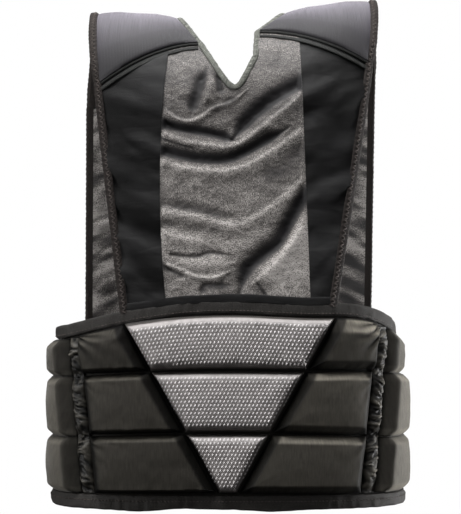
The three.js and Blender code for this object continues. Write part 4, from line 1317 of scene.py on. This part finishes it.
def make_shoulder_pad(name, side):
    rows, columns = GRIDS["strap"]
    end = 1 - SEAM_CLEAR / STRAP_REACH
    over = np.linspace(-end, end, rows)[:, None]
    share = np.linspace(0, 1, columns)
    x = lerp(strap_neck(side, over, PAD_NECK_CLEAR), strap_arm(side, over, PAD_ARM_CLEAR), share)
    to_edge = np.minimum(share, 1 - share) * 2
    to_seam = end - np.abs(over)
    rise = [np.clip(to_edge * STRAP_SWELL["edge"], 0, 1), np.clip(to_seam * STRAP_SWELL["seam"], 0, 1)]
    bulge = np.sqrt(rise[0]) * np.sqrt(rise[1])
    along = over * STRAP_REACH
    height = lerp(STRAP_EDGE, STRAP_CROWN, bulge) + uneven("strap_dent", x, along, side) * bulge
    base, out = on_strap(x, over)
    # Painted light on the crest and painted shade towards the end seams, darker again towards the arm edge
    light = 1 + lerp(CREST_PAINTED_LIGHT, SEAM_PAINTED_SHADE, smooth(np.abs(over) * SHADE_SPREAD))
    shade = light * lerp(1, ARM_EDGE_LIGHT[name], soft_step(share, ARM_EDGE_FROM, 1)) - 1
    outer = base + out * height[..., None]
    pad = wall(f"shoulder_pad_{name}_cover", outer, base, NEOPRENE, pairs(x, along), shade)
    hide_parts(f"shoulder_pad_{name}")


def joined(*runs):
    """Runs of places and outward directions as one line."""
    return np.concatenate([run[0] for run in runs]), np.concatenate([run[1] for run in runs])


def even_line(places, out, step, closed=False):
    """A line of places and directions again, about a step apart."""
    if closed:
        places, out = joined((places, out), (places[:1], out[:1]))
    along = arc_lengths(places)
    wanted = np.linspace(0, along[-1], math.ceil(along[-1] / step) + 1)
    if closed:
        wanted = wanted[:-1]

    def again(values):
        return np.stack([np.interp(wanted, along, values[:, k]) for k in range(3)], axis=1)

    return again(places), unit(again(out))


def zigzag(name, places, out, offset):
    """A zigzag seam on top of a tape."""
    line, normal = even_line(places, out, ZIGZAG["pitch"] / 2)
    across = directions(line, normal, False)
    sway = np.where(np.arange(len(line)) % 2 == 0, 1, -1)[:, None] * ZIGZAG["sway"]
    at = line + across * (sway + offset)
    stitches(name, at[:-1], at[1:], normal[:-1], ZIGZAG["radius"], THREAD)


def overlock(name, places, out, width):
    """Slanting threads over the whole width of the neck's tape."""
    line, normal = even_line(places, out, OVERLOCK["pitch"], closed=True)
    across = directions(line, normal, True)
    run = unit(np.cross(normal, across)) * OVERLOCK["slant"]
    reach = across * width * OVERLOCK["share"]
    dip = normal * OVERLOCK["radius"]
    starts, ends = line - reach - run - dip, line + reach + run - dip
    stitches(name, starts, ends, normal, OVERLOCK["radius"], NECK_THREAD)


def make_edge_tape(name, node, places, out, width, thickness, ridges, material, closed=False):
    """A tape round an edge, higher where it wraps a shoulder pad; returns the line along its top."""
    x, _, z = places.T
    wrap = STRAP_WRAP["rise"] * smooth((z - seam_z(x)) / STRAP_WRAP["reach"])
    top = (thickness - TAPE_SINK + wrap)[:, None]
    section = rounded_section(len(places), width, -TAPE_SINK, top[:, 0])
    section[..., 1] += np.where(section[..., 1] > top / 2, ridges[:, None], 0)
    tape = sweep(name, places, out, section, material, closed=closed)
    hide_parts(node)
    return places + out * top


def make_arm_binding(name, side):
    width, thickness = ARM_TAPE
    inset = width / 2
    up = np.linspace(0, 1, LINE_POINTS["arm"])[:-1]
    down = up[::-1]
    foot = belt_edge_z(back_arm(side, BELT_TOP[0]) - side * width, -1) - BELT_TUCK
    back_z = lerp(foot, seam_z(strap_arm(side, -1, 0)), up)
    back = on_panel(-1, back_arm(side, back_z) - side * inset, back_z)
    over = np.linspace(-1, 1, LINE_POINTS["strap"])
    strap = on_strap(strap_arm(side, over, inset), over)
    front_x = lerp(side * (FRONT_ARM_AT_BELT - inset), strap_arm(side, 1, inset), down)
    front_z = lerp(belt_edge_z(FRONT_ARM_AT_BELT, 1) - BELT_TUCK, seam_z(strap_arm(side, 1, 0)), down)
    front = on_panel(1, front_x, front_z)
    places, out = even_line(*joined(back, strap, front), TAPE_STEPS["arm"])
    along = arc_lengths(places)
    on_front = soft_step(places[:, 1], *FRONT_WIDENS)
    wide = lerp(width, FRONT_ARM_TAPE, on_front) + uneven("arm_tape", along, shift=side)
    outwards = side * (FRONT_ARM_TAPE - width) / 2 * on_front
    places = places - directions(places, out, False) * outwards[:, None]
    puckers = ARM_TAPE_PUCKER * np.sin(math.tau * along / ZIGZAG["pitch"])
    names = (f"armhole_tape_{name}", f"armhole_binding_{name}")
    top = make_edge_tape(*names, places, out, wide, thickness, puckers, EDGE_TAPE)
    zigzag(f"armhole_zigzag_{name}", top, out, -ZIGZAG["aside"] * side)


def make_neck_binding():
    width, thickness = NECK_TAPE
    inset = width / 2
    over = np.linspace(-1, 1, LINE_POINTS["strap"])
    between_straps = np.linspace(0, 1, LINE_POINTS["neck"])[1:-1]
    back = on_panel(-1, *neck_place(back_neckline, between_straps, inset, 0))
    front = on_panel(1, *neck_place(front_neckline, between_straps[::-1], inset, 0))
    right = on_strap(strap_neck(1, over, inset), over)
    left = on_strap(strap_neck(-1, over[::-1], inset), over[::-1])
    places, out = even_line(*joined(back, right, front, left), TAPE_STEPS["neck"], closed=True)
    along = arc_lengths(places)
    wide = width + uneven("neck_tape", along)
    ridges = uneven("neck_ridge", along)
    names = ("neck_tape", "neck_binding")
    top = make_edge_tape(*names, places, out, wide, thickness, ridges, NECK_EDGE, closed=True)
    overlock("neck_overlock", top, out, width)


def across_strap(side, end, count):
    """Places across a strap at its back end (-1) or its front end (1)."""
    return np.linspace(strap_neck(side, end, PAD_NECK_CLEAR), strap_arm(side, end, PAD_ARM_CLEAR), count)


def make_piping(name, side, end, place):
    x = across_strap(side, end, LINE_POINTS["piping"])
    places, out = on_strap(x, end)
    radius = PIPING["diameter"] / 2
    low, high = PIPING["lift"] - radius, PIPING["lift"] + radius
    section = rounded_section(len(x), PIPING["diameter"], low, high, PIPING["corners"], squareness=2)
    cord = sweep(f"piping_{place}_{name}_cord", places, out, section, SEAM_TAPE)
    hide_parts(f"piping_{place}_{name}")


def make_seam_hem(name, side):
    """The turned hem of the panels below the corded seam on the back."""
    x = across_strap(side, -1, LINE_POINTS["seam_hem"])
    places, out = on_panel(-1, x, seam_z(x) - np.linspace(*SEAM_HEM["drop"], len(x)))
    width = SEAM_HEM["width"] + uneven("seam_hem_edge", x)
    section = rounded_section(len(x), width, HEM_FOOT, SEAM_HEM["top"], squareness=SEAM_HEM["squareness"])
    sweep(f"seam_hem_{name}", places, out, section, SEAM_TAPE)


def make_belt_hem():
    """The turned hem of the back panels along the top edge of the belt."""
    ends = [back_arm(side, BELT_TOP[0]) - side * ARM_CLEAR for side in SIDES.values()]
    x = np.linspace(*ends, LINE_POINTS["belt_hem"])
    places, out = on_panel(-1, x, belt_edge_z(x, -1) + BELT_HEM["up"] + uneven("belt_hem_sag", x))
    width = BELT_HEM["width"] + uneven("belt_hem_edge", x)
    section = rounded_section(len(x), width, HEM_FOOT, BELT_HEM["top"], squareness=BELT_HEM["squareness"])
    sweep("belt_hem", places, out, section, KNIT)


# Stage, lights and camera

def make_stage(name, points, faces, material):
    """A piece of the stage, which is seen but throws no light back onto the vest."""
    mesh = bpy.data.meshes.new(name)
    mesh.from_pydata((points * MM).tolist(), [], faces)
    mesh.materials.append(material)
    piece = add_object(name, mesh)
    piece.visible_diffuse = False
    piece.visible_glossy = False
    piece.visible_transmission = False
    return piece


def make_floor():
    turn = np.linspace(0, math.tau, FLOOR["corners"], endpoint=False)
    rim = FLOOR["radius"] * pairs(np.cos(turn), np.sin(turn))
    points = np.column_stack([rim, np.full(len(turn), FLOOR["z"])])
    colour = (FLOOR["grey"], FLOOR["grey"], FLOOR["grey"], 1)
    material, _, _ = principled("pale_floor", **{"Base Color": colour, "Roughness": FLOOR["roughness"]})
    make_stage("floor", points, [list(range(len(turn)))], material)


def make_backdrop():
    """A white sphere round the stage."""
    turn = np.linspace(0, math.tau, BACKDROP["meridians"], endpoint=False)
    rise = np.linspace(-math.pi / 2, math.pi / 2, BACKDROP["parallels"] + 2)[1:-1, None]
    x, y, z = np.broadcast_arrays(np.cos(rise) * np.cos(turn), np.cos(rise) * np.sin(turn), np.sin(rise))
    points = np.stack([x, y, z], axis=-1).reshape(-1, 3) * BACKDROP["radius"]
    last = len(points) - len(turn)
    poles = [list(range(len(turn))), list(range(last, len(points)))]
    glow = {"Base Color": (0, 0, 0, 1), "Specular IOR Level": 0, "Emission Color": (1, 1, 1, 1)}
    material, _, _ = principled("white_backdrop", **glow, **{"Emission Strength": 1.0})
    faces = grid_faces(len(rise), len(turn), True).tolist()
    backdrop = make_stage("backdrop", points, faces + poles, material)
    backdrop.visible_shadow = False


def make_world():
    """Soft light from above, which fades out towards the floor."""
    world = bpy.data.worlds.new("studio")
    world.use_nodes = True
    tree = world.node_tree
    direction = add_node(tree, "ShaderNodeTexCoord").outputs["Generated"]
    height = add_node(tree, "ShaderNodeSeparateXYZ", {0: direction}).outputs["Z"]
    share = add_node(tree, "ShaderNodeMapRange", {"Value": height, "From Min": -1.0}).outputs[0]
    level = ramp(tree, share, *((place, (value, value, value)) for place, value in WORLD_LEVELS))
    background = tree.nodes["Background"]
    tree.links.new(level, background.inputs["Strength"])
    background.inputs["Color"].default_value = (1, 1, 1, 1)
    bpy.context.scene.world = world


def make_light(name, place, aim, size, watts):
    light = bpy.data.lights.new(name, "AREA")
    light.shape = "DISK"
    light.size = size * MM
    light.energy = watts
    lamp = add_object(name, light)
    lamp.location = Vector(place) * MM
    lamp.rotation_mode = "QUATERNION"
    lamp.rotation_quaternion = (Vector(aim) - Vector(place)).to_track_quat("-Z", "Y")


def make_camera():
    camera = add_object("camera", bpy.data.cameras.new("camera"))
    camera.data.sensor_fit = "VERTICAL"
    camera.data.sensor_height = SENSOR_HEIGHT
    camera.data.lens = SENSOR_HEIGHT * FOCAL_PIXELS / PHOTO_HEIGHT
    camera.location = Vector(CAMERA_PLACE) * MM
    camera.rotation_euler = (math.radians(90), 0, 0)
    bpy.context.scene.camera = camera


# Assembly

make_camera()
make_world()
make_floor()
make_backdrop()
for name, light in LIGHTS.items():
    make_light(name, **light)
bpy.context.scene.view_settings.view_transform = "Standard"

make_belt_shell()
for node, tape in BELT_TAPES.items():
    make_belt_tape(node, **tape)
for node, pad in all_pads().items():
    make_pad(node, pad)
    if pad.kind == "centre":
        make_dots_on(node, pad)
make_back_mesh()
make_belt_hem()
make_front_panel()
make_neck_binding()
for name, side in SIDES.items():
    make_gather(name, side)
    make_back_band(name, side)
    make_shoulder_pad(name, side)
    make_arm_binding(name, side)
    for place, end in STRAP_ENDS.items():
        make_piping(name, side, end, place)
    make_seam_hem(name, side)
